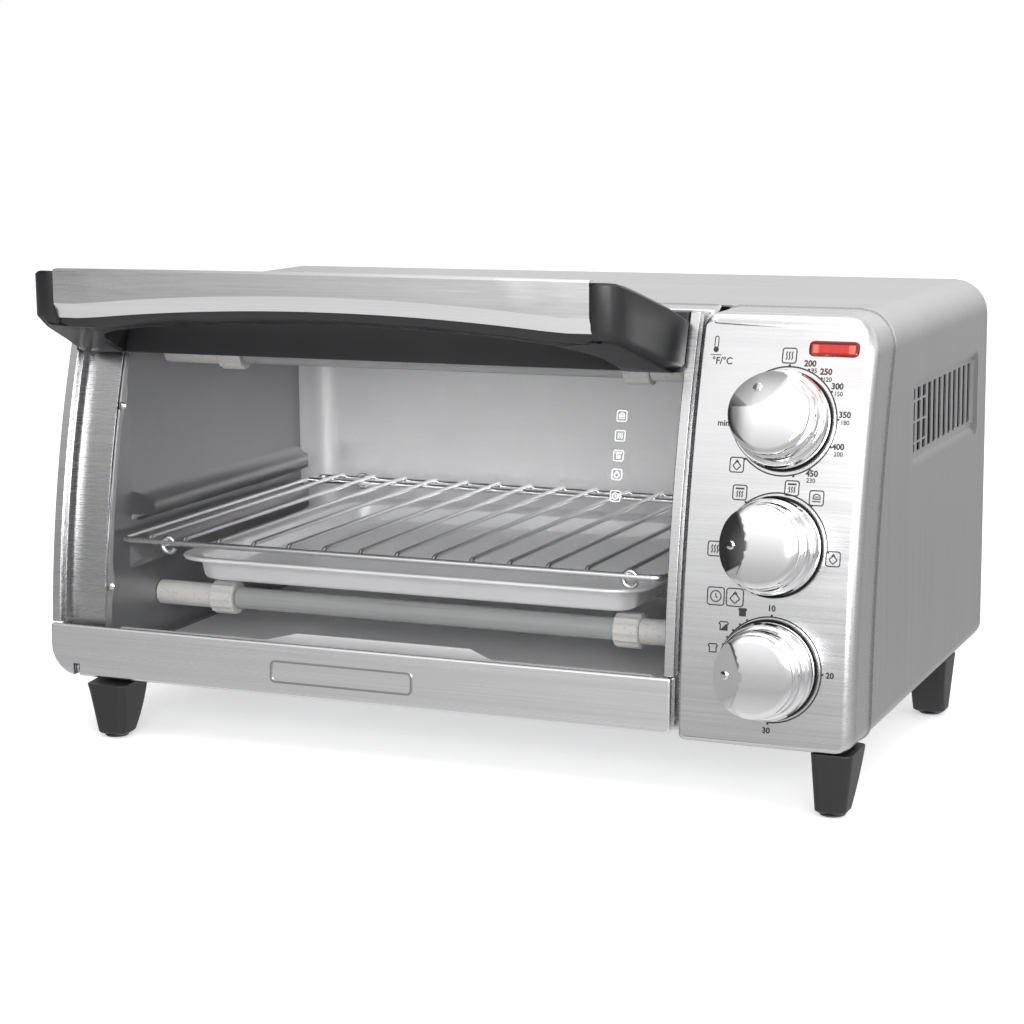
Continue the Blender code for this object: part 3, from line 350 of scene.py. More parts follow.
@dataclass(frozen=True)
class RolledSheet(Finish):
    """Coated or pressed sheet metal, with spangle, rolling marks and a few stains."""

    metallic: float = 1.0
    spangle: float = 55.0
    patchiness: float = 0.14
    roll: Place = (12.0, 500.0, 500.0)
    dent: float = 0.00003

    def paint(self, graph: Graph, shader: bpy.types.Node) -> None:
        """Feeds the shader with crystals, rolling marks and clouds.

        Args:
            graph: The node tree that is written.
            shader: The shader node that is fed.
        """
        cell = graph.node(
            "ShaderNodeTexVoronoi", None, {"Vector": graph.place(), "Scale": self.spangle}, "Color"
        )
        crystal = graph.node("ShaderNodeRGBToBW", None, {"Color": cell})
        cloud = graph.noise((16.0, 16.0, 16.0), 4.0)
        rolled = graph.noise(self.roll, 3.0)
        mixed = (crystal * 0.25 + cloud * 0.5 + rolled * 0.25).between(0.0, 1.0)
        low, high = shade(self.colour, 1.0 - self.patchiness), shade(self.colour, 1.0 + self.patchiness)
        self.feed(graph, shader, "Metallic", self.metallic)
        self.feed(graph, shader, "Base Color", graph.blend(mixed, low, high))
        rough = self.roughness + (cloud - 0.5) * 0.18 + (crystal - 0.5) * 0.06
        self.feed(graph, shader, "Roughness", rough.between(0.08, 0.95))
        self.feed(graph, shader, "Normal", graph.bump(rolled * 0.4 + cloud * 0.6, self.dent))


@dataclass(frozen=True)
class Pane(Finish):
    """Clear toughened glass, a few wipe marks on it."""

    haze: float = 0.05

    def paint(self, graph: Graph, shader: bpy.types.Node) -> None:
        """Feeds the shader so that the pane shows more at a grazing view.

        Args:
            graph: The node tree that is written.
            shader: The shader node that is fed.
        """
        wipe = graph.noise((6.0, 40.0, 14.0), 3.0)
        sheen = graph.node("ShaderNodeFresnel", None, {"IOR": 1.45})
        self.feed(graph, shader, "Base Color", graph.blend(wipe, shade(self.colour, 0.92), self.colour))
        self.feed(graph, shader, "Roughness", (self.roughness + (wipe - 0.5) * 0.04).between(0.01, 1.0))
        cover = self.haze + sheen * 0.55 + (wipe - 0.5) * 0.02
        self.feed(graph, shader, "Alpha", cover.between(0.01, 0.9))


@dataclass(frozen=True)
class Frosted(Finish):
    """Fused quartz, milky from its drawing."""

    opacity: float = 0.62

    def paint(self, graph: Graph, shader: bpy.types.Node) -> None:
        """Feeds the shader with drawing lines along the tube.

        Args:
            graph: The node tree that is written.
            shader: The shader node that is fed.
        """
        drawn = graph.noise((8.0, 420.0, 420.0), 3.0)
        self.feed(graph, shader, "Base Color", graph.blend(drawn, shade(self.colour, 0.88), self.colour))
        self.feed(graph, shader, "Roughness", self.roughness + (drawn - 0.5) * 0.2)
        self.feed(graph, shader, "Alpha", (self.opacity + (drawn - 0.5) * 0.2).between(0.0, 1.0))


@dataclass(frozen=True)
class Fired(Finish):
    """Steatite or another fired ceramic, faintly speckled."""

    def paint(self, graph: Graph, shader: bpy.types.Node) -> None:
        """Feeds the shader with specks and a chalky grain.

        Args:
            graph: The node tree that is written.
            shader: The shader node that is fed.
        """
        speck = graph.ramp(graph.noise((700.0, 700.0, 700.0), 2.0), ((0.62, 0.0), (0.70, 1.0)))
        grain = graph.noise((1500.0, 1500.0, 1500.0), 2.0)
        self.feed(graph, shader, "Base Color", graph.blend(speck, self.colour, shade(self.colour, 0.72)))
        self.feed(graph, shader, "Roughness", self.roughness + (grain - 0.5) * 0.15)
        self.feed(graph, shader, "Normal", graph.bump(grain, 0.00003))


@dataclass(frozen=True)
class LitLens(Finish):
    """A clear red moulding with a lamp behind its middle."""

    centre: Place = (0.0, 0.0, 0.0)
    half_width: float = 0.0108
    half_height: float = 0.0031

    def paint(self, graph: Graph, shader: bpy.types.Node) -> None:
        """Feeds the shader with a bright window, dark borders and fine ribs.

        Args:
            graph: The node tree that is written.
            shader: The shader node that is fed.
        """
        apart = graph.vector("SUBTRACT", graph.place(), self.centre, "Vector")
        up, along = graph.part(apart, "Z"), graph.part(apart, "X")
        side = (along.math("ABSOLUTE", along) / self.half_width).between(0.0, 1.0)
        rise = (up.math("ABSOLUTE", up) / self.half_height).between(0.0, 1.0)
        rib = graph.noise((2600.0, 20.0, 60.0), 1.0)
        border = side.math("MAXIMUM", (side - 0.85) * 14.0, (rise - 0.52) * 6.0).between(0.0, 1.0)
        ends = ((side - 0.58) * 8.0).between(0.0, 1.0) * (1.0 - border)
        body = graph.blend(rib, (0.30, 0.012, 0.009, 1), (0.40, 0.025, 0.018, 1))
        lit = graph.blend(ends * 0.6, body, (0.80, 0.16, 0.12, 1))
        tone = graph.blend(border, lit, (0.12, 0.006, 0.005, 1))
        self.feed(graph, shader, "Base Color", tone)
        self.feed(graph, shader, "Roughness", self.roughness + (rib - 0.5) * 0.1)
        self.feed(graph, shader, "Emission Color", tone)
        self.feed(graph, shader, "Emission Strength", 0.15)


FRONT_TO_MIDDLE = 0.1136
DIAL_X = 0.167
LAMP = (0.1862, 0.2013)
LENS_HALF = (0.0108, 0.0031)
SUNK = 0.0001


@dataclass(frozen=True)
class LeaningFace:
    """The oven's front: an arc about a level axis behind it."""

    radius: float = 0.552
    centre_y: float = 0.4383
    centre_z: float = 0.0176

    def y(self, z: float, setback: float = 0.0) -> float:
        """How far back the face is at a height."""
        return self.centre_y - math.sqrt((self.radius - setback) ** 2 - (z - self.centre_z) ** 2)

    def point(self, x: float, z: float, out: float = 0.0) -> Vector:
        """A point in front of the face, along its normal."""
        lean = math.asin((z - self.centre_z) / self.radius)
        return Vector((x, self.y(z) - out * math.cos(lean), z + out * math.sin(lean)))

    def seat(self, x: float, z: float) -> Matrix:
        """The place whose Z points straight out of the face there.

        Args:
            x: The centre's X.
            z: The centre's Z.

        Returns:
            The place.
        """
        lean = math.asin((z - self.centre_z) / self.radius)
        right, up = Vector((1, 0, 0)), Vector((0, math.sin(lean), math.cos(lean)))
        outward = Vector((0, -math.cos(lean), math.sin(lean)))
        turn = Matrix((right, up, outward)).transposed().to_4x4()
        return Matrix.Translation(self.point(x, z)) @ turn


FACE = LeaningFace()

# The panel's steel carries painted light: a red pool emitted round the indicator lamp.
PANEL_STEEL = Brushed(
    "panel_steel", "stainless", (0.66, 0.66, 0.665, 1), 0.27, painted_lamp_light=tuple(FACE.point(*LAMP)), contrast=0.04
)
FRONT_STEEL = Brushed("front_steel", "stainless", (0.62, 0.62, 0.625, 1), 0.28)
COVER_STEEL = Brushed("cover_steel", "stainless", (0.62, 0.62, 0.625, 1), 0.30, grain=(9.0, 1500.0, 9.0))
STRIP_STEEL = Brushed("strip_steel", "stainless", (0.88, 0.88, 0.885, 1), 0.26, contrast=0.05)
# Painted shade: darker steel for the strip's pressed frame, standing in for the shading along its outline.
FRAME_STEEL_PAINTED_SHADE = Brushed("frame_steel_painted_shade", "stainless", (0.40, 0.40, 0.405, 1), 0.35)
CHROME = Plated("chrome_plating", "chrome", (0.88, 0.88, 0.89, 1), 0.05)
SATIN = Plated("satin_plating", "chrome", (0.66, 0.66, 0.67, 1), 0.22)
WIRE = Plated("rack_plating", "chrome", (0.95, 0.95, 0.96, 1), 0.22)
BLACK = Moulded("black_moulding", "black_plastic", (0.010, 0.010, 0.011, 1), 0.36)
GLOSS_BLACK = Moulded("black_ring", "black_plastic", (0.006, 0.006, 0.006, 1), 0.20, stipple=900.0)
RUBBER = Moulded("foot_rubber", "rubber", (0.03, 0.03, 0.03, 1), 0.75, stipple=1400.0)
LINER = RolledSheet("liner_sheet", "liner", (0.34, 0.34, 0.35, 1), 0.34, metallic=0.75)
# Painted light: the rear wall wears a paler, less metallic copy of the liner sheet, standing in for the
# light that falls on it through the door.
REAR_LINER_PAINTED_LIGHT = RolledSheet(
    "rear_liner_painted_light", "liner", (0.88, 0.88, 0.89, 1), 0.40, metallic=0.25, patchiness=0.10
)
PAN_METAL = RolledSheet(
    "pan_sheet", "aluminium", (0.94, 0.94, 0.95, 1), 0.36, metallic=0.5, patchiness=0.05, dent=0.00001
)
ZINC = RolledSheet("zinc_sheet", "plated_steel", (0.52, 0.53, 0.54, 1), 0.45, spangle=110.0)
SCREW = Plated("screw_plating", "plated_steel", (0.60, 0.60, 0.61, 1), 0.25)
GLASS = Pane("door_pane", "glass", (0.05, 0.055, 0.053, 1), 0.02, haze=0.02)
LAMP_GLASS = Pane("lamp_bulb", "glass", (0.9, 0.6, 0.5, 1), 0.05, haze=0.3)
# Painted shade: the quartz is greyer than milky quartz, for the shadow that the upper tubes sit in.
QUARTZ_WITH_PAINTED_SHADE = Frosted("quartz_tube_painted_shade", "quartz", (0.55, 0.56, 0.56, 1), 0.30)
COIL = Plated("heating_wire", "plated_steel", (0.32, 0.30, 0.29, 1), 0.40)
# Partly the ceramic's own off-white, partly painted shade: toned down with the quartz for the heaters in
# shadow.
CERAMIC_WITH_PAINTED_SHADE = Fired("fired_ceramic_painted_shade", "ceramic", (0.62, 0.61, 0.59, 1), 0.55)
INK = Moulded("black_ink", "black_plastic", (0.012, 0.012, 0.012, 1), 0.5, tooth=0.000003)
WHITE_INK = Fired("white_ink", "ceramic", (0.92, 0.92, 0.92, 1), 0.5)
LENS = LitLens("lamp_lens", "red_lens", (0.6, 0.04, 0.03, 1), 0.12, tuple(FACE.point(*LAMP)), *LENS_HALF)


# ---------------------------------------------------------------- making pieces


def finished(
    name: str,
    mesh: bpy.types.Mesh | bmesh.types.BMesh,
    finishes: Sequence[Finish],
    body: str,
    replaced: Sequence[str] = (),
    sharp: float = 32.0,
) -> bpy.types.Object:
    """Makes a piece of the oven from a mesh.

    Args:
        name: The piece's name.
        mesh: Its shape, in place.
        finishes: Its surfaces, in the order of the faces' numbers.
        body: The body that it rides on.
        replaced: The model's nodes that it stands for.
        sharp: The angle in degrees from which an edge shows as sharp.

    Returns:
        The piece.
    """
    if isinstance(mesh, bmesh.types.BMesh):
        made = bpy.data.meshes.new(name)
        mesh.to_mesh(made)
        mesh.free()
        mesh = made
    mesh.materials.clear()
    for finish in finishes:
        mesh.materials.append(finish.material())
    mesh.shade_smooth()
    mesh.set_sharp_from_angle(angle=math.radians(sharp))
    piece = bpy.data.objects.new(name, mesh)
    bpy.context.scene.collection.objects.link(piece)
    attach(piece, body)
    if replaced:
        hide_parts(*replaced)
    return piece


def body_of(node: str) -> str:
    """The body that a node of the model rides on."""
    return next(body for body, nodes in frame["record"]["behaviour"]["bodies"].items() if node in nodes)


def merged(node: str) -> bmesh.types.BMesh:
    """A node's mesh with its loose triangles merged and its flat faces made whole.

    Args:
        node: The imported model's node.

    Returns:
        The shape.
    """
    bm = bmesh.new()
    bm.from_mesh(frame["nodes"][node].data)
    bmesh.ops.remove_doubles(bm, verts=bm.verts, dist=WELD)
    bmesh.ops.dissolve_limit(bm, angle_limit=math.radians(0.2), verts=bm.verts, edges=bm.edges)
    for face in bm.faces:
        face.material_index = 0
    return bm


def refined(node: str, finish: Finish, edge: float = 0.0, sharp: float = 32.0) -> bpy.types.Object:
    """Makes the fine version of a node: softened edges and even shading.

    Args:
        node: The node.
        finish: Its surface.
        edge: The width in metres by which its edges are softened.
        sharp: The angle in degrees from which an edge shows as sharp.

    Returns:
        The piece that stands for the node.
    """
    piece = finished(f"{node}_skin", merged(node), [finish], body_of(node), [node], sharp)
    if edge:
        bevel = piece.modifiers.new("softened", "BEVEL")
        bevel.width = edge
        bevel.segments = 2
        bevel.limit_method = "ANGLE"
        bevel.angle_limit = math.radians(sharp)
        bevel.use_clamp_overlap = True
    weighted = piece.modifiers.new("even_shading", "WEIGHTED_NORMAL")
    weighted.keep_sharp = True
    return piece


def dressed(node: str, finish: Finish) -> None:
    """Gives a node that stays its finish."""
    for slot in frame["nodes"][node].material_slots:
        slot.link = "OBJECT"
        slot.material = finish.material()


def polar(radius: float, turn: float) -> tuple[float, float]:
    """A point at a radius and an angle in radians."""
    return (radius * math.cos(turn), radius * math.sin(turn))


def lathe(
    profile: Sequence[tuple[float, float, int]], sides: int, closed: bool = False
) -> bmesh.types.BMesh:
    """Turns a profile about Z.

    Args:
        profile: Radius and height in millimetres, and the finish of the band that ends there.
        sides: How many sides the turned shape has.
        closed: True if the last point joins the first, as on a ring.

    Returns:
        The closed shape, in metres.
    """
    bm = bmesh.new()
    rings = []
    for radius, height, _ in profile:
        count = 1 if radius < 1e-6 else sides
        places = [polar(radius * MM, math.tau * i / sides) for i in range(count)]
        rings.append([bm.verts.new((x, y, height * MM)) for x, y in places])
    pairs = [(k, k + 1) for k in range(len(rings) - 1)] + ([(len(rings) - 1, 0)] if closed else [])
    for low, high in pairs:
        for i in range(sides):
            j = (i + 1) % sides
            first, second = rings[low], rings[high]
            corners = [ring[k % len(ring)] for ring, k in ((first, i), (first, j), (second, j), (second, i))]
            face = bm.faces.new(list(dict.fromkeys(corners)))
            face.material_index = profile[high][2]
    bmesh.ops.recalc_face_normals(bm, faces=bm.faces)
    return bm


def loft(rings: Sequence[Sequence[Vector]]) -> bmesh.types.BMesh:
    """Skins rings of equal length and closes both ends.

    Args:
        rings: The rings, from one end to the other.

    Returns:
        The shape.
    """
    bm = bmesh.new()
    loops = [[bm.verts.new(point) for point in ring] for ring in rings]
    count = len(loops[0])
    for low, high in zip(loops, loops[1:]):
        for i in range(count):
            j = (i + 1) % count
            bm.faces.new((low[i], low[j], high[j], high[i]))
    bm.faces.new(list(reversed(loops[0])))
    bm.faces.new(loops[-1])
    bmesh.ops.recalc_face_normals(bm, faces=bm.faces)
    return bm


def gathered(parts: Iterable[bpy.types.Mesh | bmesh.types.BMesh]) -> bmesh.types.BMesh:
    """Puts several meshes into one.

    Args:
        parts: The meshes.

    Returns:
        The shape.
    """
    whole = bmesh.new()
    for part in parts:
        if isinstance(part, bmesh.types.BMesh):
            loose = bpy.data.meshes.new("loose")
            part.to_mesh(loose)
            part.free()
            part = loose
        whole.from_mesh(part)
    return whole


def rounded(half_width: float, half_height: float, radius: float, steps: int = 6) -> Outline:
    """The outline of a rounded rectangle about the origin, anticlockwise.

    Args:
        half_width: Half the rectangle's width.
        half_height: Half the rectangle's height.
        radius: The corners' radius.
        steps: How many steps each curve has.

    Returns:
        The outline.
    """
    outline = []
    for quarter in range(4):
        sign_x, sign_y = ((1, 1), (-1, 1), (-1, -1), (1, -1))[quarter]
        cx, cy = sign_x * (half_width - radius), sign_y * (half_height - radius)
        for i in range(steps + 1):
            turn = math.pi / 2 * (quarter + i / steps)
            outline.append((cx + radius * math.cos(turn), cy + radius * math.sin(turn)))
    return outline


def bow(radius: float, start: float, end: float, steps: int) -> list[tuple[float, float]]:
    """Points along an arc about the origin, angles in degrees."""
    turns = [math.radians(start + (end - start) * i / steps) for i in range(steps + 1)]
    return [(radius * math.cos(t), radius * math.sin(t)) for t in turns]


# ---------------------------------------------------------------- patterns made by geometry nodes


class Pattern(Graph):
    """A Geometry Nodes tree whose result becomes a plain mesh."""

    def __init__(self, label: str, inputs: dict[str, str]) -> None:
        """Makes the tree with its named inputs.

        Args:
            label: The tree's name.
            inputs: The kind of each input's socket, by the input's name.
        """
        super().__init__(bpy.data.node_groups.new(label, "GeometryNodeTree"))
        face = self.tree.interface
        face.new_socket("Geometry", in_out="OUTPUT", socket_type="NodeSocketGeometry")
        face.new_socket("Geometry", in_out="INPUT", socket_type="NodeSocketGeometry")
        for name, kind in inputs.items():
            face.new_socket(name, in_out="INPUT", socket_type=f"NodeSocket{kind}")
        face.new_socket("Finish", in_out="INPUT", socket_type="NodeSocketMaterial")
        self.entry = self.tree.nodes.new("NodeGroupInput")
        self.exit = self.tree.nodes.new("NodeGroupOutput")

    def given(self, name: str) -> Signal:
        """One of the tree's inputs."""
        return Signal(self, self.entry.outputs[name])

    def copies(self, points: Signal, part: Signal, more: dict[str, Signal] | None = None) -> Signal:
        """A copy of a part at each point."""
        values = {"Points": points, "Instance": part, **(more or {})}
        return self.node("GeometryNodeInstanceOnPoints", None, values)

    def close(self, geometry: Signal) -> None:
        """Ends the tree: real meshes in their finish.

        Args:
            geometry: What the tree has made.
        """
        real = self.node("GeometryNodeRealizeInstances", None, {0: geometry})
        smooth = self.node("GeometryNodeSetShadeSmooth", None, {0: real})
        values = {"Geometry": smooth, "Material": self.given("Finish")}
        coated = self.node("GeometryNodeSetMaterial", None, values)
        self.tree.links.new(coated.socket, self.exit.inputs[0])

    def run(self, host: bpy.types.Mesh, finish: Finish, values: dict[str, object]) -> bpy.types.Mesh:
        """Runs the tree on a mesh of paths or points.

        Args:
            host: The paths or points.
            finish: The finish that the result wears.
            values: The inputs' values by name.

        Returns:
            The result as one mesh.
        """
        carrier = bpy.data.objects.new("carrier", host)
        bpy.context.scene.collection.objects.link(carrier)
        modifier = carrier.modifiers.new("pattern", "NODES")
        modifier.node_group = self.tree
        settings = {**values, "Finish": finish.material()}
        for item in self.tree.interface.items_tree:
            if item.in_out == "INPUT" and item.name in settings:
                modifier[item.identifier] = settings[item.name]
        shown = carrier.evaluated_get(bpy.context.evaluated_depsgraph_get())
        mesh = bpy.data.meshes.new_from_object(shown)
        bpy.data.objects.remove(carrier)
        return mesh


def paths(runs: Sequence[Sequence[Place]], closed: bool = False) -> bpy.types.Mesh:
    """A mesh that holds only the edges of some paths.

    Args:
        runs: The points of each path.
        closed: True if each path's last point joins its first.

    Returns:
        The mesh.
    """
    points, edges = [], []
    for run in runs:
        start = len(points)
        points += [tuple(point) for point in run]
        edges += [(start + i, start + i + 1) for i in range(len(run) - 1)]
        if closed:
            edges.append((start + len(run) - 1, start))
    mesh = bpy.data.meshes.new("paths")
    mesh.from_pydata(points, edges, [])
    return mesh


def spots(places: Sequence[Place], facing: Sequence[Place] | None = None) -> bpy.types.Mesh:
    """A mesh that holds only points, with the way each of them faces.

    Args:
        places: The points.
        facing: The way that each point faces.

    Returns:
        The mesh.
    """
    mesh = bpy.data.meshes.new("spots")
    mesh.from_pydata([tuple(place) for place in places], [], [])
    if facing is not None:
        stored = mesh.attributes.new("facing", "FLOAT_VECTOR", "POINT")
        for item, way in zip(stored.data, facing):
            item.vector = way
    return mesh


class Wirework(Pattern):
    """Round wire bent along paths, and repeated in a row."""

    def __init__(self) -> None:
        """Writes the tree."""
        super().__init__(
            "wirework",
            {"Radius": "Float", "Bend": "Float", "Sides": "Int", "Count": "Int", "Step": "Vector"},
        )
        line = self.node("GeometryNodeMeshToCurve", None, {0: self.given("Geometry")})
        bent = self.node(
            "GeometryNodeFilletCurve",
            {"mode": "POLY"},
            {"Curve": line, "Count": 5, "Radius": self.given("Bend"), "Limit Radius": True},
        )
        ring = self.node(
            "GeometryNodeCurvePrimitiveCircle",
            {"mode": "RADIUS"},
            {"Resolution": self.given("Sides"), "Radius": self.given("Radius")},
        )
        wire = self.node(
            "GeometryNodeCurveToMesh", None, {"Curve": bent, "Profile Curve": ring, "Fill Caps": True}
        )
        row = self.node(
            "GeometryNodeMeshLine",
            {"mode": "OFFSET"},
            {"Count": self.given("Count"), "Offset": self.given("Step")},
        )
        self.close(self.copies(row, wire))


class Spiral(Pattern):
    """A coil of wire along X at each of the points."""

    def __init__(self) -> None:
        """Writes the tree."""
        super().__init__(
            "heating_coil", {"Turns": "Float", "Radius": "Float", "Length": "Float", "Wire": "Float"}
        )
        coil = self.node(
            "GeometryNodeCurveSpiral",
            None,
            {
                "Resolution": 10,
                "Rotations": self.given("Turns"),
                "Start Radius": self.given("Radius"),
                "End Radius": self.given("Radius"),
                "Height": self.given("Length"),
            },
        )
        laid = self.node(
            "GeometryNodeTransform", None, {"Geometry": coil, "Rotation": (0.0, math.pi / 2, 0.0)}
        )
        ring = self.node(
            "GeometryNodeCurvePrimitiveCircle",
            {"mode": "RADIUS"},
            {"Resolution": 5, "Radius": self.given("Wire")},
        )
        wire = self.node(
            "GeometryNodeCurveToMesh", None, {"Curve": laid, "Profile Curve": ring, "Fill Caps": True}
        )
        self.close(self.copies(self.given("Geometry"), wire))


class Studs(Pattern):
    """A copy of one small part at each point, turned the way the point faces."""

    def __init__(self) -> None:
        """Writes the tree."""
        super().__init__("studs", {"Part": "Object"})
        part = self.node(
            "GeometryNodeObjectInfo",
            {"transform_space": "ORIGINAL"},
            {"Object": self.given("Part")},
            "Geometry",
        )
        way = self.node(
            "GeometryNodeInputNamedAttribute",
            {"data_type": "FLOAT_VECTOR"},
            {"Name": "facing"},
            "Attribute",
        )
        turned = self.node("FunctionNodeAlignRotationToVector", {"axis": "Z"}, {"Vector": way})
        self.close(self.copies(self.given("Geometry"), part, {"Rotation": turned}))


class Blocks(Pattern):
    """A small block at each point."""

    def __init__(self) -> None:
        """Writes the tree."""
        super().__init__("blocks", {"Size": "Vector"})
        block = self.node("GeometryNodeMeshCube", None, {"Size": self.given("Size")})
        self.close(self.copies(self.given("Geometry"), block))


class Head(Enum):
    """The fasteners' heads: radius and height in millimetres, and whether there is a cross recess."""

    RIVET = (2.2, 0.9, False)
    CROSS = (3.4, 1.4, True)
    SMALL = (2.4, 1.0, True)


def fastener_head(head: Head) -> bpy.types.Object:
    """The mesh of one fastener's head, seated at its underside, as an object to copy.

    Args:
        head: The kind of head.

    Returns:
        The piece.
    """
    radius, height, cross = head.value
    rings, sides = 7, 24
    bm = bmesh.new()
    loops = [[bm.verts.new((0, 0, (height - (height * 0.7 if cross else 0)) * MM))]]
    for k in range(1, rings + 1):
        share = k / rings
        dome = height * (1 - 0.75 * share**2.4)
        loop = []
        for i in range(sides):
            turn = math.tau * i / sides
            x, y = radius * share * math.cos(turn), radius * share * math.sin(turn)
            slotted = cross and min(abs(x), abs(y)) < radius * 0.14 and max(abs(x), abs(y)) < radius * 0.62
            loop.append(bm.verts.new((x * MM, y * MM, (dome - (height * 0.6 if slotted else 0)) * MM)))
        loops.append(loop)
    loops.append([bm.verts.new((v.co.x, v.co.y, -0.2 * MM)) for v in loops[-1]])
    for low, high in zip(loops, loops[1:]):
        for i in range(sides):
            j = (i + 1) % sides
            corners = [low[i % len(low)], high[i], high[j], low[j % len(low)]]
            bm.faces.new(list(dict.fromkeys(corners)))
    bm.faces.new(list(reversed(loops[-1])))
    bmesh.ops.recalc_face_normals(bm, faces=bm.faces)
    mesh = bpy.data.meshes.new("head")
    bm.to_mesh(mesh)
    bm.free()
    part = bpy.data.objects.new("head", mesh)
    bpy.context.scene.collection.objects.link(part)
    return part


def fasteners(
    name: str,
    head: Head,
    places: Sequence[Place],
    facing: Sequence[Place],
    body: str,
    finish: Finish = SCREW,
) -> bpy.types.Object:
    """Fits a set of like fasteners as one piece.

    Args:
        name: The piece's name.
        head: The kind of head.
        places: Where the heads are seated.
        facing: The way each head faces.
        body: The body that they ride on.
        finish: Their surface.

    Returns:
        The piece.
    """
    part = fastener_head(head)
    mesh = Studs().run(spots(places, facing), finish, {"Part": part})
    bpy.data.objects.remove(part)
    return finished(name, mesh, [finish], body)


# ---------------------------------------------------------------- printing


class Marks:
    """Flat marks printed or pressed on the leaning face, gathered as one closed mesh."""

    def __init__(self, thickness: float, setback: float = 0.0) -> None:
        """Starts with no marks.

        Args:
            thickness: How proud the marks stand, in metres.
            setback: How far behind the face their surface lies.
        """
        self.mesh = bmesh.new()
        self.thickness = thickness
        self.setback = setback

    def corner(self, x: float, z: float, proud: bool) -> bmesh.types.BMVert:
        """A corner of a mark, under or on its surface."""
        out = self.thickness if proud else -SUNK
        return self.mesh.verts.new(FACE.point(x, z, out - self.setback))

    def patch(self, outline: Outline) -> None:
        """A filled mark.

        Args:
            outline: The corners, X and Z in metres.
        """
        low = [self.corner(x, z, False) for x, z in outline]
        top = [self.corner(x, z, True) for x, z in outline]
        self.mesh.faces.new(list(reversed(low)))
        self.mesh.faces.new(top)
        for i in range(len(outline)):
            j = (i + 1) % len(outline)
            self.mesh.faces.new((low[i], low[j], top[j], top[i]))

    def stroke(self, points: Outline, width: float, closed: bool = False) -> None:
        """A line of even width along some points.

        Args:
            points: The points, X and Z in metres.
            width: The line's width.
            closed: True if the last point joins the first.
        """
        count = len(points)
        rows = []
        for i in range(count):
            before = points[i - 1] if i or closed else points[i]
            after = points[(i + 1) % count] if i + 1 < count or closed else points[i]
            first = Vector((points[i][0] - before[0], points[i][1] - before[1]))
            second = Vector((after[0] - points[i][0], after[1] - points[i][1]))
            first = first.normalized() if first.length > 1e-9 else second.normalized()
            second = second.normalized() if second.length > 1e-9 else first
            middle = (first + second).normalized() if (first + second).length > 1e-6 else first
            side = Vector((-middle.y, middle.x)) * (width / 2 / max(0.5, middle.dot(second)))
            left = (points[i][0] + side.x, points[i][1] + side.y)
            right = (points[i][0] - side.x, points[i][1] - side.y)
            around = ((left, False), (right, False), (right, True), (left, True))
            rows.append([self.corner(*at, proud) for at, proud in around])
        for i in range(count if closed else count - 1):
            here, there = rows[i], rows[(i + 1) % count]
            for a in range(4):
                b = (a + 1) % 4
                self.mesh.faces.new((here[a], there[a], there[b], here[b]))
        if not closed:
            self.mesh.faces.new(rows[0])
            self.mesh.faces.new(list(reversed(rows[-1])))

    def text(self, words: str, x: float, z: float, height: float, weight: float = 0.05) -> None:
        """Prints a number or a sign, centred on a point.

        Args:
            words: What is printed.
            x: The centre's X.
            z: The centre's Z.
            height: The height of a numeral, in metres.
            weight: How much the strokes are thickened, as a share of the height.
        """
        curve = bpy.data.curves.new("words", "FONT")
        curve.body = words
        curve.size = height / 0.70
        curve.align_x = "CENTER"
        curve.align_y = "CENTER"
        curve.extrude = 0.5
        curve.offset = weight * height
        curve.resolution_u = 3
        carrier = bpy.data.objects.new("words", curve)
        bpy.context.scene.collection.objects.link(carrier)
        flat = bpy.data.meshes.new_from_object(carrier.evaluated_get(bpy.context.evaluated_depsgraph_get()))
        bpy.data.objects.remove(carrier)
        for vertex in flat.vertices:
            out = self.thickness if vertex.co.z > 0 else -SUNK
            vertex.co = FACE.point(x + vertex.co.x, z + vertex.co.y, out - self.setback)
        self.mesh.from_mesh(flat)

    def done(self) -> bmesh.types.BMesh:
        """The marks, their faces turned outwards.

        Returns:
            The shape.
        """
        bmesh.ops.remove_doubles(self.mesh, verts=self.mesh.verts, dist=WELD)
        bmesh.ops.recalc_face_normals(self.mesh, faces=self.mesh.faces)
        for face in self.mesh.faces:
            face.material_index = 0
        return self.mesh


class Sign(Enum):
    """The pictures round the dials, none of them a maker's own."""

    WARM = "warm"
    BROIL = "broil"
    BAKE = "bake"
    TOAST = "toast"
    CLOCK = "clock"


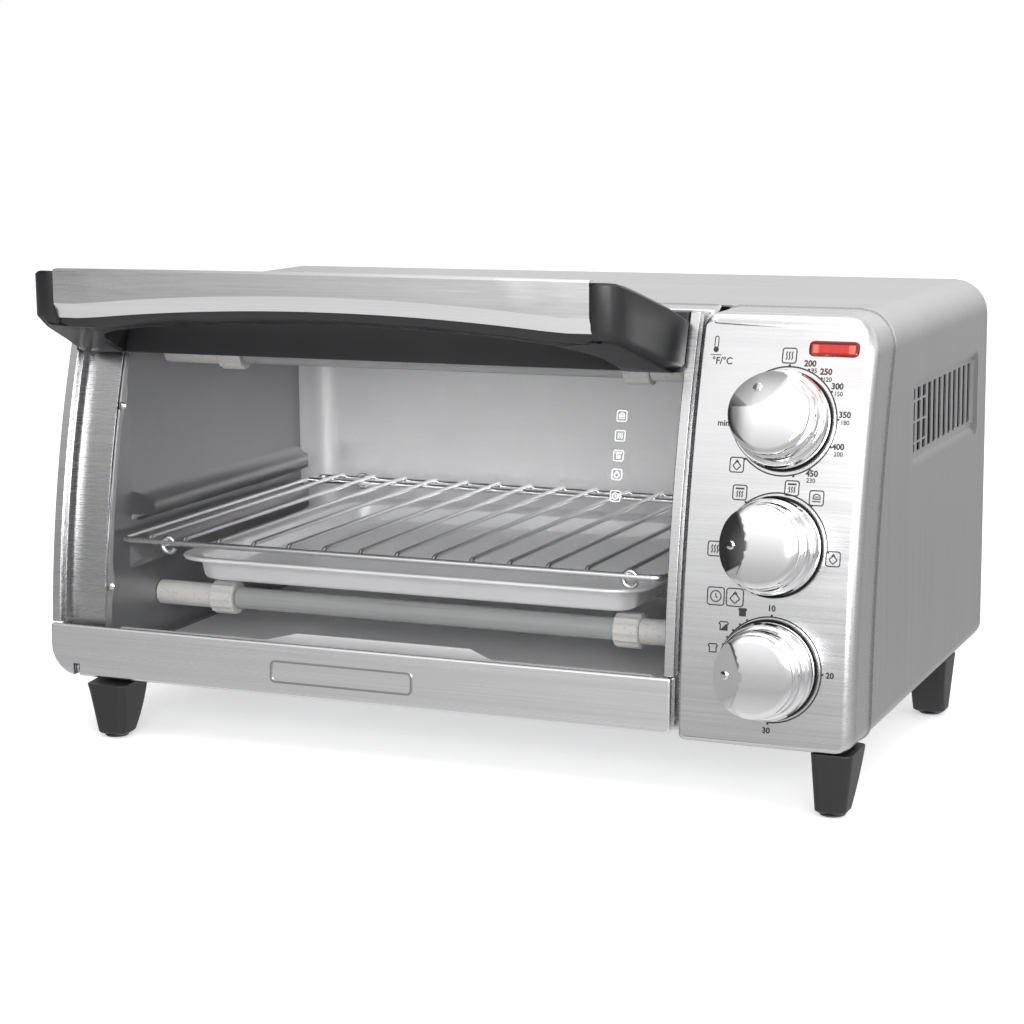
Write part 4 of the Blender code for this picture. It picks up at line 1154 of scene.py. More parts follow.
@dataclass
class Pictograms:
    """Draws the small pictures in a rounded frame."""

    marks: Marks
    half: float = 0.0031
    line: float = 0.00050

    def moved(self, points: Outline, x: float, z: float, scale: float = 1.0) -> list[tuple[float, float]]:
        """Points in units of the frame's half width, put in place."""
        return [(x + px * self.half * scale, z + pz * self.half * scale) for px, pz in points]

    def wave(self, x: float, low: float, high: float) -> list[tuple[float, float]]:
        """A rising wave of heat.

        Args:
            x: Where the wave stands.
            low: Its lower end.
            high: Its upper end.

        Returns:
            The points.
        """
        shares = [i / 8 for i in range(9)]
        return [
            (x + 0.20 * (share - 0.5) + 0.10 * math.sin(math.tau * share), low + (high - low) * share)
            for share in shares
        ]

    def draw(self, sign: Sign, x: float, z: float) -> None:
        """Draws one picture, centred on a point.

        Args:
            sign: The picture.
            x: The centre's X.
            z: The centre's Z.
        """
        corners = rounded(1.0, 1.0, 0.32, 4)
        self.marks.stroke(self.moved(corners, x, z), self.line, closed=True)
        line = self.line * 0.95
        if sign is Sign.WARM:
            for across in (-0.40, 0.0, 0.40):
                self.marks.stroke(self.moved(self.wave(across, -0.55, 0.55), x, z), line)
        elif sign is Sign.BROIL:
            self.marks.patch(self.moved([(-0.62, 0.42), (0.62, 0.42), (0.62, 0.66), (-0.62, 0.66)], x, z))
            for across in (-0.36, 0.0, 0.36):
                self.marks.stroke(self.moved(self.wave(across, -0.58, 0.18), x, z), line)
        elif sign is Sign.BAKE:
            top = [(0.5 * math.cos(t), 0.12 + 0.42 * math.sin(t)) for t in self.half_turn()]
            dome = [(-0.5, -0.12)] + top
            self.marks.stroke(self.moved(dome + [(0.5, -0.12)], x, z), line, closed=True)
            self.marks.stroke(self.moved([(-0.3, 0.16), (0.3, 0.16)], x, z), line)
            self.marks.stroke(self.moved([(-0.62, -0.45), (0.62, -0.45)], x, z), line)
        elif sign is Sign.TOAST:
            turned = [((a - b) * 0.707, (a + b) * 0.707 - 0.12) for a, b in rounded(0.42, 0.42, 0.12, 2)]
            self.marks.stroke(self.moved(turned, x, z), line, closed=True)
            self.marks.stroke(self.moved([(-0.22, 0.34), (0.0, 0.62), (0.24, 0.36)], x, z), line)
        else:
            self.marks.stroke(self.moved(bow(0.62, 0, 345, 23), x, z), line, closed=True)
            self.marks.stroke(self.moved([(0.0, 0.34), (0.0, 0.0), (0.18, -0.2)], x, z), line)

    @staticmethod
    def half_turn() -> list[float]:
        """Angles over the top of a dome, from left to right."""
        return [math.pi * (1 - i / 8) for i in range(9)]

    def slice(self, x: float, z: float, filled: float) -> None:
        """Draws a slice of bread, toasted to a share of its width.

        Args:
            x: The centre's X.
            z: The centre's Z.
            filled: 0 for pale, 1 for dark, and between them for half done.
        """
        scale = 0.80
        right = [(0.62, -0.72), (0.62, 0.20), (0.86, 0.42), (0.62, 0.72)]
        crust = [(-right[0][0], right[0][1]), *right, *((-px, pz) for px, pz in reversed(right[1:]))]
        if filled >= 1.0:
            self.marks.patch(self.moved(crust, x, z, scale))
            return
        self.marks.stroke(self.moved(crust, x, z, scale), self.line, closed=True)
        if filled > 0.0:
            self.marks.patch(self.moved([(-0.5, -0.6), (0.5, -0.6), (0.5, 0.45)], x, z, scale))


# ---------------------------------------------------------------- sub-assemblies


@dataclass
class Dial:
    """One control: a knob with a slanted facet on its domed face, and the ring round it."""

    name: str
    height: float
    pointing: float
    sides: int = 112
    dome_top: float = 26.4
    dome_drop: float = 1.7
    face_radius: float = 17.2
    facet_reach: float = 5.4
    facet_tilt: float = 20.0
    pointer_reach: float = 7.2

    def dome(self, radius: float) -> float:
        """The height of the domed face at a radius, in millimetres."""
        return self.dome_top - self.dome_drop * (radius / self.face_radius) ** 2

    def knob_profile(self) -> list[tuple[float, float, int]]:
        """The knob's outline, with its finishes: 0 chrome, 1 satin, 2 black. The black of the base band is
        painted shade for the shadow ring under the skirt; the black in the groove is partly the band's own
        dark tone and partly painted shade.

        Returns:
            The profile.
        """
        rim = self.dome(self.face_radius)
        # Painted shade: the base band is black for the shadow ring under the skirt.
        base = [(0, 2.9, 2), (20.9, 2.9, 2), (21.4, 3.4, 2), (21.4, 7.4, 2), (20.7, 8.6, 2)]
        lip = [(20.2, 8.6, 2), (20.4, 9.1, 0), (20.3, 9.6, 0), (19.8, 9.9, 0)]
        skirt = [(19.2, 10.1, 1), (19.0, 12.6, 1), (18.6, 13.2, 1), (18.3, 15.0, 1), (18.2, 16.2, 2)]
        ring = [(18.5, 16.7, 0), (18.7, 17.2, 0), (18.5, 17.8, 0), (17.9, 18.1, 0)]
        # The groove's black is partly its own dark band and partly painted shade.
        groove = [(16.6, 18.3, 2), (16.4, 20.3, 2), (16.8, 20.9, 2)]
        edge = [(17.5, 21.1, 0), (18.0, 21.7, 0), (18.1, 22.6, 0)]
        edge += [(18.0, rim - 1.0, 0), (17.75, rim - 0.35, 0)]
        face = [(radius, self.dome(radius), 0) for radius in (17.2, 15.0, 12.0, 9.0, 6.0, 3.0, 0.0)]
        return base + lip + skirt + ring + groove + edge + face

    def facet(self) -> tuple[Vector, Vector]:
        """A point on the facet's plane and the plane's normal, before the knob is turned."""
        tilt = math.radians(self.facet_tilt)
        point = Vector((-self.facet_reach * MM, 0, self.dome(self.facet_reach) * MM))
        return point, Vector((-math.sin(tilt), 0, math.cos(tilt)))

    def knob(self) -> bmesh.types.BMesh:
        """The knob, standing on the origin and pointing along -X.

        Returns:
            The shape.
        """
        bm = lathe(self.knob_profile(), self.sides)
        point, normal = self.facet()
        everything = list(bm.verts) + list(bm.edges) + list(bm.faces)
        bmesh.ops.bisect_plane(
            bm, geom=everything, dist=1e-7, plane_co=point, plane_no=normal, clear_outer=True
        )
        rim = [edge for edge in bm.edges if edge.is_boundary]
        filled = bmesh.ops.holes_fill(bm, edges=rim, sides=0)
        for face in filled["faces"]:
            face.material_index = 0
        bmesh.ops.recalc_face_normals(bm, faces=bm.faces)
        return bm

    def pointer(self) -> bmesh.types.BMesh:
        """The little stud on the facet.

        Returns:
            The shape.
        """
        outline = ((0, -0.4), (1.9, -0.4), (1.9, 0.45), (1.6, 0.75), (0.8, 0.85), (0, 0.9))
        bm = lathe([(radius, height, 0) for radius, height in outline], 32)
        point, normal = self.facet()
        tilt = math.radians(self.facet_tilt)
        middle = point + Vector((-math.cos(tilt), 0, -math.sin(tilt))) * self.pointer_reach * MM
        bm.transform(Matrix.Translation(middle) @ normal.to_track_quat("Z", "Y").to_matrix().to_4x4())
        return bm

    def build(self) -> list[bpy.types.Object]:
        """Makes the knob and its ring, and dresses the shaft.

        Returns:
            The pieces.
        """
        seat = FACE.seat(DIAL_X, self.height)
        turn = Matrix.Rotation(math.radians(self.pointing - 180.0), 4, "Z")
        knob = gathered([self.knob(), self.pointer()])
        knob.transform(seat @ turn)
        ring_profile = [
            (4.9, 0.4, 1), (21.8, 0.4, 1), (22.1, 0.6, 1), (22.1, 1.0, 1), (21.9, 1.3, 1), (21.6, 1.3, 1),
            (21.5, 1.0, 0), (21.3, 2.2, 0), (4.9, 2.2, 0),
        ]
        ring = lathe(ring_profile, self.sides, closed=True)
        ring.transform(seat)
        dressed(f"{self.name}_shaft", ZINC)
        return [
            finished(
                f"{self.name}_knob_turned", knob, [CHROME, SATIN, GLOSS_BLACK], f"{self.name}_dial",
                [f"{self.name}_knob"], sharp=26.0,
            ),
            finished(f"{self.name}_ring", ring, [GLOSS_BLACK, SATIN], "body", [f"{self.name}_bezel"]),
        ]


@dataclass
class ControlPanel:
    """The pressed panel with its dials, its lamp and what is printed on it."""

    number: float = 0.0025
    small: float = 0.0019
    arc_radius: float = 0.0229
    arc_shift: float = 0.0005
    tick: float = 0.0010
    line: float = 0.00062

    def dials(self) -> list[Dial]:
        """The three controls, from the top."""
        seats = (("temperature", 0.1705, 118.0), ("function", 0.1175, 180.0), ("timer", 0.0648, 180.0))
        return [Dial(*seat) for seat in seats]

    def scale(self, marks: Marks, height: float, start: float, end: float, ticks: Sequence[float]) -> None:
        """Prints a dial's arc and the ticks outside it.

        Args:
            marks: What they are printed with.
            height: The dial's height.
            start: The arc's first angle in degrees, anticlockwise from the right.
            end: The arc's last angle.
            ticks: The angles of the ticks.
        """
        middle = DIAL_X + self.arc_shift
        arc = [(middle + x, height + z) for x, z in bow(self.arc_radius, start, end, 72)]
        marks.stroke(arc, self.line)
        for angle in ticks:
            turn = math.radians(angle)
            near, far = polar(self.arc_radius, turn), polar(self.arc_radius + self.tick, turn)
            marks.stroke(
                [(middle + near[0], height + near[1]), (middle + far[0], height + far[1])], self.line * 1.5
            )

    def print_temperature(self, marks: Marks, pictures: Pictograms, height: float) -> None:
        """Prints the scale of degrees.

        Args:
            marks: What the panel is printed with.
            pictures: What draws the pictures.
            height: The dial's height.
        """
        self.scale(marks, height, -135, 192, (-135, -76, -57, -25, 4, 34, 52, 69, 91, 190))
        numbers = {
            "200": (9.2, 24.4), "250": (16.6, 21.2), "300": (22.2, 15.3),
            "350": (26.6, 3.6), "400": (24.9, -9.7), "450": (14.3, -21.4),
        }
        small = {
            "95": (11.2, 21.5), "120": (17.4, 18.0), "150": (22.9, 12.2),
            "180": (26.9, 0.4), "200": (25.2, -12.8), "230": (14.0, -24.3),
        }
        for words, (x, z) in numbers.items():
            marks.text(words, DIAL_X + x * MM, height + z * MM, self.number)
        for words, (x, z) in small.items():
            marks.text(words, DIAL_X + x * MM, height + z * MM, self.small, 0.02)
        marks.text("min", DIAL_X - 0.0272, height - 0.0019, self.number, 0.03)
        pictures.draw(Sign.WARM, DIAL_X - 0.0004, height + 0.0275)
        pictures.draw(Sign.TOAST, DIAL_X - 0.0195, height - 0.0192)
        pictures.draw(Sign.BROIL, DIAL_X + 0.0060, height - 0.0278)

    def print_thermometer(self, marks: Marks, x: float, z: float) -> None:
        """Prints the thermometer over the signs of the two scales.

        Args:
            marks: What the panel is printed with.
            x: The centre's X.
            z: The centre's Z.
        """
        bulb = [(x + px, z - 0.0020 + pz) for px, pz in bow(0.0012, 0, 345, 23)]
        marks.patch(bulb)
        tube = [(x + px, z + 0.0012 + pz) for px, pz in rounded(0.0008, 0.0024, 0.0008, 4)]
        marks.stroke(tube, 0.0004, closed=True)
        marks.stroke([(x - 0.0022, z - 0.0042), (x + 0.0026, z - 0.0042)], 0.0003)
        marks.text("°F/°C", x + 0.0034, z - 0.0068, 0.0029, 0.02)

    def print_function(self, marks: Marks, pictures: Pictograms, height: float) -> None:
        """Prints the pictures of what the oven does.

        Args:
            marks: What the panel is printed with.
            pictures: What draws the pictures.
            height: The dial's height.
        """
        self.scale(marks, height, -2, 129, (-2, 51, 129))
        pictures.draw(Sign.BROIL, DIAL_X - 0.0172, height + 0.0222)
        pictures.draw(Sign.BAKE, DIAL_X + 0.0172, height + 0.0216)
        pictures.draw(Sign.TOAST, DIAL_X + 0.0262, height - 0.0034)
        pictures.draw(Sign.WARM, DIAL_X - 0.0268, height - 0.0023)
        larger = Pictograms(marks, 0.0038)
        larger.draw(Sign.CLOCK, DIAL_X - 0.0252, height - 0.0226)
        larger.draw(Sign.TOAST, DIAL_X - 0.0165, height - 0.0226)

    def print_timer(self, marks: Marks, pictures: Pictograms, height: float) -> None:
        """Prints the scale of minutes and the shades of toast.

        Args:
            marks: What the panel is printed with.
            pictures: What draws the pictures.
            height: The dial's height.
        """
        self.scale(marks, height, -92, 161, (-91, 0, 90, 118, 127, 137, 147, 156))
        marks.text("10", DIAL_X + 0.0002, height + 0.0265, self.number)
        marks.text("20", DIAL_X + 0.0272, height - 0.0003, self.number)
        marks.text("30", DIAL_X - 0.0005, height - 0.0266, self.number)
        pictures.slice(DIAL_X - 0.0127, height + 0.0240, 1.0)
        pictures.slice(DIAL_X - 0.0210, height + 0.0175, 0.5)
        pictures.slice(DIAL_X - 0.0256, height + 0.0076, 0.0)

    def printing(self) -> bpy.types.Object:
        """Prints the whole panel.

        Returns:
            The piece.
        """
        marks = Marks(0.00014)
        pictures = Pictograms(marks)
        top, middle, low = self.dials()
        self.print_temperature(marks, pictures, top.height)
        self.print_thermometer(marks, 0.1330, 0.2016)
        self.print_function(marks, pictures, middle.height)
        self.print_timer(marks, pictures, low.height)
        return finished("panel_printing", marks.done(), [INK], "body")

    def lens(self) -> bpy.types.Object:
        """Makes the lamp's red lens, with a groove round its window.

        Returns:
            The piece.
        """
        levels = [(0.0, -4.0), (0.0, 0.25), (0.15, 0.6), (0.55, 0.85), (0.95, 0.85)]
        levels += [(1.15, 0.6), (1.45, 0.6), (1.75, 0.85)]
        rings = []
        for inset, out in levels:
            corner = max(0.0004, (1.5 - inset * 0.7) * MM)
            outline = rounded(LENS_HALF[0] - inset * MM, LENS_HALF[1] - inset * MM * 0.8, corner, 6)
            rings.append([FACE.point(LAMP[0] + x, LAMP[1] + z, out * MM) for x, z in outline])
        return finished("lamp_lens_moulding", loft(rings), [LENS], "body", ["indicator_lens"])

    def build(self) -> list[bpy.types.Object]:
        """Makes the panel and everything on it.

        Returns:
            The pieces.
        """
        pieces = [refined("control_panel", PANEL_STEEL), self.printing(), self.lens()]
        for dial in self.dials():
            pieces += dial.build()
        for node in ("control_bracket", "thermostat", "function_switch", "timer"):
            dressed(node, ZINC)
        dressed("indicator_lamp", LAMP_GLASS)
        return pieces


@dataclass
class Shells:
    """The outer cover with its vent, the front frame, the back and the base."""

    slots: int = 12
    barred: int = 3
    first_slot: float = 0.1065 - FRONT_TO_MIDDLE
    last_slot: float = 0.2185 - FRONT_TO_MIDDLE
    slot_low: float = 0.1465
    slot_high: float = 0.1760
    bar: float = 0.0010

    def vent_bars(self) -> bpy.types.Object:
        """Makes the short bars across the first slots of the vent.

        Returns:
            The piece.
        """
        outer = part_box("outer_cover")[1].x
        pitch = (self.last_slot - self.first_slot) / (self.slots - 1)
        rise = self.slot_high - self.slot_low
        places = [
            (outer - 0.0029, self.first_slot + pitch * i, self.slot_high - rise * share)
            for i in range(self.barred)
            for share in (0.20, 0.53, 0.86)
        ]
        mesh = Blocks().run(spots(places), COVER_STEEL, {"Size": (0.0008, 0.0064, self.bar)})
        return finished("vent_bars", mesh, [COVER_STEEL], "body")

    def rear_baffle(self) -> bpy.types.Object:
        """Makes the dark sheet that stands inside the rear vents, beside the liner: painted shade, so that
        the vents read dark inside.

        Returns:
            The piece.
        """
        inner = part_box("rear_panel")[1].y - 0.0062
        low, high = (0.1290, inner, 0.0450), (0.1960, inner + 0.0006, 0.2020)
        bm = bmesh.new()
        # Painted shade: a black sheet where the vents show only shadow.
        bmesh.ops.create_cube(bm, size=1.0)
        for vertex in bm.verts:
            vertex.co = [high[i] if vertex.co[i] > 0 else low[i] for i in range(3)]
        return finished("rear_baffle", bm, [BLACK], "body")

    def rear_screws(self) -> bpy.types.Object:
        """Fits the screws that hold the back.

        Returns:
            The piece.
        """
        low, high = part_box("rear_panel")
        back = high.y
        columns = (low.x + 0.012, low.x * 0.33 + high.x * 0.67 - 0.06, high.x - 0.012)
        places = [(x, back, z) for x in columns for z in (low.z + 0.012, high.z - 0.012)]
        middle = (low.z + high.z) / 2
        places += [(low.x + 0.012, back, middle), (high.x - 0.012, back, middle + 0.02)]
        return fasteners("rear_screws", Head.CROSS, places, [(0, 1, 0)] * len(places), "body")

    def base_screws(self) -> bpy.types.Object:
        """Fits the screws under the base, beside the feet.

        Returns:
            The piece.
        """
        low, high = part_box("base_pan")
        columns, rows = (low.x + 0.020, 0.0, high.x - 0.020), (low.y + 0.012, high.y - 0.012)
        places = [(x, y, low.z) for x in columns for y in rows]
        return fasteners("base_screws", Head.SMALL, places, [(0, 0, -1)] * len(places), "body")

    def build(self) -> list[bpy.types.Object]:
        """Makes the shells and their small parts.

        Returns:
            The pieces.
        """
        pieces = [
            refined("outer_cover", COVER_STEEL),
            refined("front_frame", FRONT_STEEL),
            refined("rear_panel", ZINC),
            refined("base_pan", ZINC),
            refined("cord_gland", BLACK, 0.0003),
        ]
        return pieces + [self.vent_bars(), self.rear_baffle(), self.rear_screws(), self.base_screws()]


HEATER_NAMES = ("lower_front_heater", "lower_rear_heater", "upper_front_heater", "upper_rear_heater")


@dataclass
class Cavity:
    """The liner, its crumb tray and the four heating tubes."""

    flange_left: float = -0.1794
    flange_width: float = 0.0030
    flange_setback: float = 0.0172
    scallop: float = 0.0016
    coil_turns: float = 64.0
    coil_radius: float = 0.0030
    coil_wire: float = 0.00042
    nut_ribs: int = 14

    def flange(self) -> bpy.types.Object:
        """Makes the liner's scalloped flange down the left of the opening.

        Returns:
            The piece.
        """
        low, high, steps = 0.044, 0.186, 72
        rings = []
        for i in range(steps + 1):
            z = low + (high - low) * i / steps
            swell = sum(math.exp(-(((z - rivet) / 0.006) ** 2)) for rivet in self.rivet_heights())
            right = self.flange_left + self.flange_width + self.scallop * swell
            front, back = FACE.y(z, self.flange_setback), FACE.y(z, self.flange_setback + 0.0008)
            left = self.flange_left
            corners = ((left, front), (right, front), (right, back), (left, back))
            rings.append([Vector((x, y, z)) for x, y in corners])
        return finished("liner_flange", loft(rings), [LINER], "body")

    @staticmethod
    def rivet_heights() -> tuple[float, float]:
        """The heights of the flange's two rivets."""
        return (0.0750, 0.1655)

    def rivets(self) -> bpy.types.Object:
        """Fits the flange's rivets."""
        x = self.flange_left + 0.0021
        places = [tuple(FACE.point(x, z, -self.flange_setback)) for z in self.rivet_heights()]
        return fasteners("liner_rivets", Head.RIVET, places, [(0, -1, 0.1)] * len(places), "body", CHROME)

    def coils(self) -> bpy.types.Object:
        """Makes the heating wire inside the four tubes.

        Returns:
            The piece.
        """
        places, length = [], 0.0
        for name in HEATER_NAMES:
            low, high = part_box(name)
            length = high.x - low.x - 0.004
            places.append((low.x + 0.002, (low.y + high.y) / 2, (low.z + high.z) / 2))
        values = {
            "Turns": self.coil_turns, "Radius": self.coil_radius, "Length": length, "Wire": self.coil_wire
        }
        return finished("heating_coils", Spiral().run(spots(places), COIL, values), [COIL], "body")

    def holder(self, node: str) -> bpy.types.Object:
        """Makes a ceramic holder with a ribbed nut on its inner end.

        Args:
            node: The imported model's node.

        Returns:
            The piece.
        """
        low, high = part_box(node)
        inwards = 1 if low.x < 0 and high.x < 0 and "left" in node else -1
        wall = low.x if inwards > 0 else high.x
        reach = (high.x - low.x) / MM
        centre = Vector((wall, (low.y + high.y) / 2, (low.z + high.z) / 2))
        sides = self.nut_ribs * 6
        profile = [(0, 0), (6.0, 0), (6.2, 0.3)]
        profile += [(6.2, reach - 13.0), (7.9, reach - 13.0), (8.5, reach - 12.4)]
        profile += [(8.5, reach - 0.7), (7.9, reach), (5.9, reach), (5.7, reach - 0.5), (0, reach - 0.5)]
        bm = lathe([(r, h, 0) for r, h in profile], sides)
        for vertex in bm.verts:
            radius = math.hypot(vertex.co.x, vertex.co.y)
            if radius > 0.0075:
                turn = math.atan2(vertex.co.y, vertex.co.x)
                share = 1.0 - 0.055 * (0.5 - 0.5 * math.cos(turn * self.nut_ribs)) ** 0.6
                vertex.co.x *= share
                vertex.co.y *= share
        turn = Vector((inwards, 0, 0)).to_track_quat("Z", "Y").to_matrix().to_4x4()
        bm.transform(Matrix.Translation(centre) @ turn)
        return finished(f"{node}_ribbed", bm, [CERAMIC_WITH_PAINTED_SHADE], "body", [node])

    def build(self) -> list[bpy.types.Object]:
        """Makes the liner and what is fixed in it.

        Returns:
            The pieces.
        """
        pieces = [
            refined("cavity_left_wall", LINER),
            refined("cavity_right_wall", LINER),
            # The rear wall's paler liner is painted light.
            refined("cavity_rear_wall", REAR_LINER_PAINTED_LIGHT),
            refined("cavity_roof", LINER),
            refined("crumb_tray", PAN_METAL),
            self.flange(),
            self.rivets(),
            self.coils(),
        ]
        for name in HEATER_NAMES:
            pieces.append(self.tube(name))
            pieces += [self.holder(f"{name}_holder_{end}") for end in ("left", "right")]
        return pieces

    @staticmethod
    def tube(node: str) -> bpy.types.Object:
        """Makes a round quartz tube in place of a faceted one.

        Args:
            node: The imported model's node.

        Returns:
            The piece.
        """
        low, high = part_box(node)
        length, radius = (high.x - low.x) / MM, (high.z - low.z) / 2 / MM
        profile = [(0, 0), (radius - 0.4, 0), (radius, 0.4)]
        profile += [(radius, length - 0.4), (radius - 0.4, length), (0, length)]
        bm = lathe([(r, h, 0) for r, h in profile], 48)
        centre = Vector((low.x, (low.y + high.y) / 2, (low.z + high.z) / 2))
        turn = Vector((1, 0, 0)).to_track_quat("Z", "Y").to_matrix().to_4x4()
        bm.transform(Matrix.Translation(centre) @ turn)
        return finished(f"{node}_tube", bm, [QUARTZ_WITH_PAINTED_SHADE], "body", [node])



@dataclass
class Rack:
    """The wire rack and the pan nested under it."""

    rod: float = 0.0016
    wire: float = 0.0012
    level: float = 0.0968
    first: float = -0.1563
    pitch: float = 0.0192
    count: int = 14
    corner: float = 0.0060
    cross_y: float = 0.2200 - FRONT_TO_MIDDLE
    loops_x: tuple[float, float] = (-0.1452, 0.0952)

    def wirework(self) -> bpy.types.Object:
        """Bends the rods and wires of the rack.

        Returns:
            The piece.
        """
        low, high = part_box("wire_rack")
        x0, x1 = low.x + self.rod, high.x - self.rod
        y0, y1 = low.y + self.rod, high.y - self.rod
        over = self.level + self.rod + self.wire - 0.0006
        pattern = Wirework()
        thick = {"Radius": self.rod, "Bend": self.corner, "Sides": 14, "Count": 1, "Step": (0.0, 0.0, 0.0)}
        thin = {"Radius": self.wire, "Bend": 0.0025, "Sides": 12, "Count": 1, "Step": (0.0, 0.0, 0.0)}
        rim = [(x0, y0, self.level), (x1, y0, self.level), (x1, y1, self.level), (x0, y1, self.level)]
        cross = [(x0, self.cross_y, self.level), (x1, self.cross_y, self.level)]
        bent = [
            (self.first, y0 - 0.0003, over - 0.0022), (self.first, y0 + 0.0026, over),
            (self.first, y1 - 0.0026, over), (self.first, y1 + 0.0003, over - 0.0022),
        ]
        row = {**thin, "Count": self.count, "Step": (self.pitch, 0.0, 0.0)}
        hooks = [
            [(x + 0.0034 * a, y, self.level - 0.0012 + 0.0036 * b) for a, b in bow(1.0, 20, 340, 22)]
            for x in self.loops_x
            for y in (y0, y1)
        ]
        meshes = [
            pattern.run(paths([rim], closed=True), WIRE, thick),
            pattern.run(paths([cross]), WIRE, thick),
            pattern.run(paths([bent]), WIRE, row),
            pattern.run(paths(hooks), WIRE, {**thin, "Bend": 0.0005}),
        ]
        return finished("rack_wirework", gathered(meshes), [WIRE], "rack", ["wire_rack"], sharp=40.0)

    def pan(self) -> bpy.types.Object:
        """Presses the baking pan: a floor, rounded corners, a flange and a rolled edge.

        Returns:
            The piece.
        """
        low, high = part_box("baking_pan")
        centre = (low + high) / 2
        half_x, half_y = (high.x - low.x) / 2, (high.y - low.y) / 2
        rim, floor, sheet, flange = high.z, low.z + 0.0008, 0.0008, 0.0080
        inside = [(flange + 0.0095, floor, 0.006), (flange + 0.0052, floor, 0.010)]
        inside += [(flange + 0.0036, floor + 0.0006, 0.0112), (flange + 0.0026, floor + 0.0018, 0.0120)]
        inside += [(flange + 0.0012, rim - 0.0030, 0.0134)]
        inside += [(flange + 0.0004, rim - 0.0016, 0.0142), (flange - 0.0008, rim - 0.0009, 0.0150)]
        edge = [(0.0034, rim - 0.0008, 0.0180), (0.0022, rim - 0.0001, 0.0190), (0.0011, rim, 0.0196)]
        edge += [(0.0003, rim - 0.0004, 0.0200), (0.0, rim - 0.0012, 0.0200), (0.0004, rim - 0.0020, 0.0198)]
        edge += [(0.0014, rim - 0.0023, 0.0192), (0.0024, rim - 0.0018, 0.0186)]
        outside = [(flange - 0.0012, rim - 0.0017, 0.0146), (flange - 0.0004, rim - 0.0022, 0.0138)]
        outside += [(flange + 0.0004, rim - 0.0034, 0.0128), (flange + 0.0018, floor + 0.0014, 0.0114)]
        outside += [(flange + 0.0028, floor, 0.0104), (flange + 0.0046, floor - sheet, 0.0092)]
        rings = []
        for inset, z, radius in inside + edge + outside:
            outline = rounded(half_x - inset, half_y - inset, radius, 10)
            rings.append([Vector((centre.x + x, centre.y + y, z)) for x, y in outline])
        return finished("baking_pan_pressing", loft(rings), [PAN_METAL], "rack", ["baking_pan"], sharp=60.0)

    def build(self) -> list[bpy.types.Object]:
        """Makes the rack and the pan."""
        return [self.wirework(), self.pan()]


@dataclass
class Door:
    """The door: its pane, its trims and strip, the handle and the hinges."""

    strip_setback: float = 0.0064
    glass_setback: float = 0.0080
    frame_x: tuple[float, float] = (-0.0807, -0.0069)
    frame_z: tuple[float, float] = (0.0371, 0.0471)
    picture_x: float = 0.0894
    picture_heights: tuple[float, ...] = (0.1707, 0.1620, 0.1532, 0.1449, 0.1353)

    def pressed_frame(self) -> bpy.types.Object:
        """Presses the plain rounded frame in the bottom strip, in darker steel that is painted shade for the
        frame's shaded outline.

        Returns:
            The piece.
        """
        marks = Marks(0.0006, self.strip_setback)
        (x0, x1), (z0, z1) = self.frame_x, self.frame_z
        outline = rounded((x1 - x0) / 2, (z1 - z0) / 2, 0.0022, 5)
        marks.stroke([((x0 + x1) / 2 + x, (z0 + z1) / 2 + z) for x, z in outline], 0.0010, closed=True)
        # The frame's darker steel is painted shade.
        return finished("strip_frame", marks.done(), [FRAME_STEEL_PAINTED_SHADE], "door")

    def glass_pictures(self) -> bpy.types.Object:
        """Prints the white pictures on the pane.

        Returns:
            The piece.
        """
        marks = Marks(0.00005, self.glass_setback)
        pictures = Pictograms(marks, 0.0023, 0.00036)
        signs = (Sign.BAKE, Sign.WARM, Sign.BROIL, Sign.TOAST, Sign.CLOCK)
        for sign, z in zip(signs, self.picture_heights):
            pictures.draw(sign, self.picture_x, z)
        return finished("pane_printing", marks.done(), [WHITE_INK], "door")

    def build(self) -> list[bpy.types.Object]:
        """Makes the door and its fittings.

        Returns:
            The pieces.
        """
        pieces = [
            refined("door_glass", GLASS),
            refined("door_trim_left", FRONT_STEEL, 0.0004),
            refined("door_trim_right", FRONT_STEEL, 0.0004),
            refined("door_top_rail", BLACK, 0.0004),
            refined("door_bottom_strip", STRIP_STEEL),
            refined("door_hinge_rail", ZINC, 0.0003),
            refined("door_handle", BLACK, 0.0, 38.0),
            refined("handle_strip", STRIP_STEEL, 0.0, 38.0),
            self.pressed_frame(),
            self.glass_pictures(),
        ]
        for side in ("left", "right"):
            pieces.append(refined(f"hinge_arm_{side}", ZINC, 0.0003))
            pieces.append(refined(f"hinge_pin_{side}", SCREW, 0.0001))
        return pieces


@dataclass
class Feet:
    """The four tapered feet and the glides under them."""

    foot_edge: float = 0.0004
    glide_edge: float = 0.0003

    def build(self) -> list[bpy.types.Object]:
        """Makes the feet.

        Returns:
            The pieces.
        """
        pieces = []
        for corner in ("front_left", "front_right", "rear_left", "rear_right"):
            pieces.append(refined(f"foot_{corner}", BLACK, self.foot_edge))
            pieces.append(refined(f"glide_{corner}", RUBBER, self.glide_edge))
        return pieces


# ---------------------------------------------------------------- studio


@dataclass(frozen=True)
class PaleFloor(Finish):
    """A studio floor that is lit from behind, so that it stays pale far away."""

    def paint(self, graph: Graph, shader: bpy.types.Node) -> None:
        """Feeds the shader of a plain surface and lights it evenly."""
        super().paint(graph, shader)
        self.feed(graph, shader, "Emission Color", (1.0, 1.0, 1.0, 1.0))
        self.feed(graph, shader, "Emission Strength", 0.40)


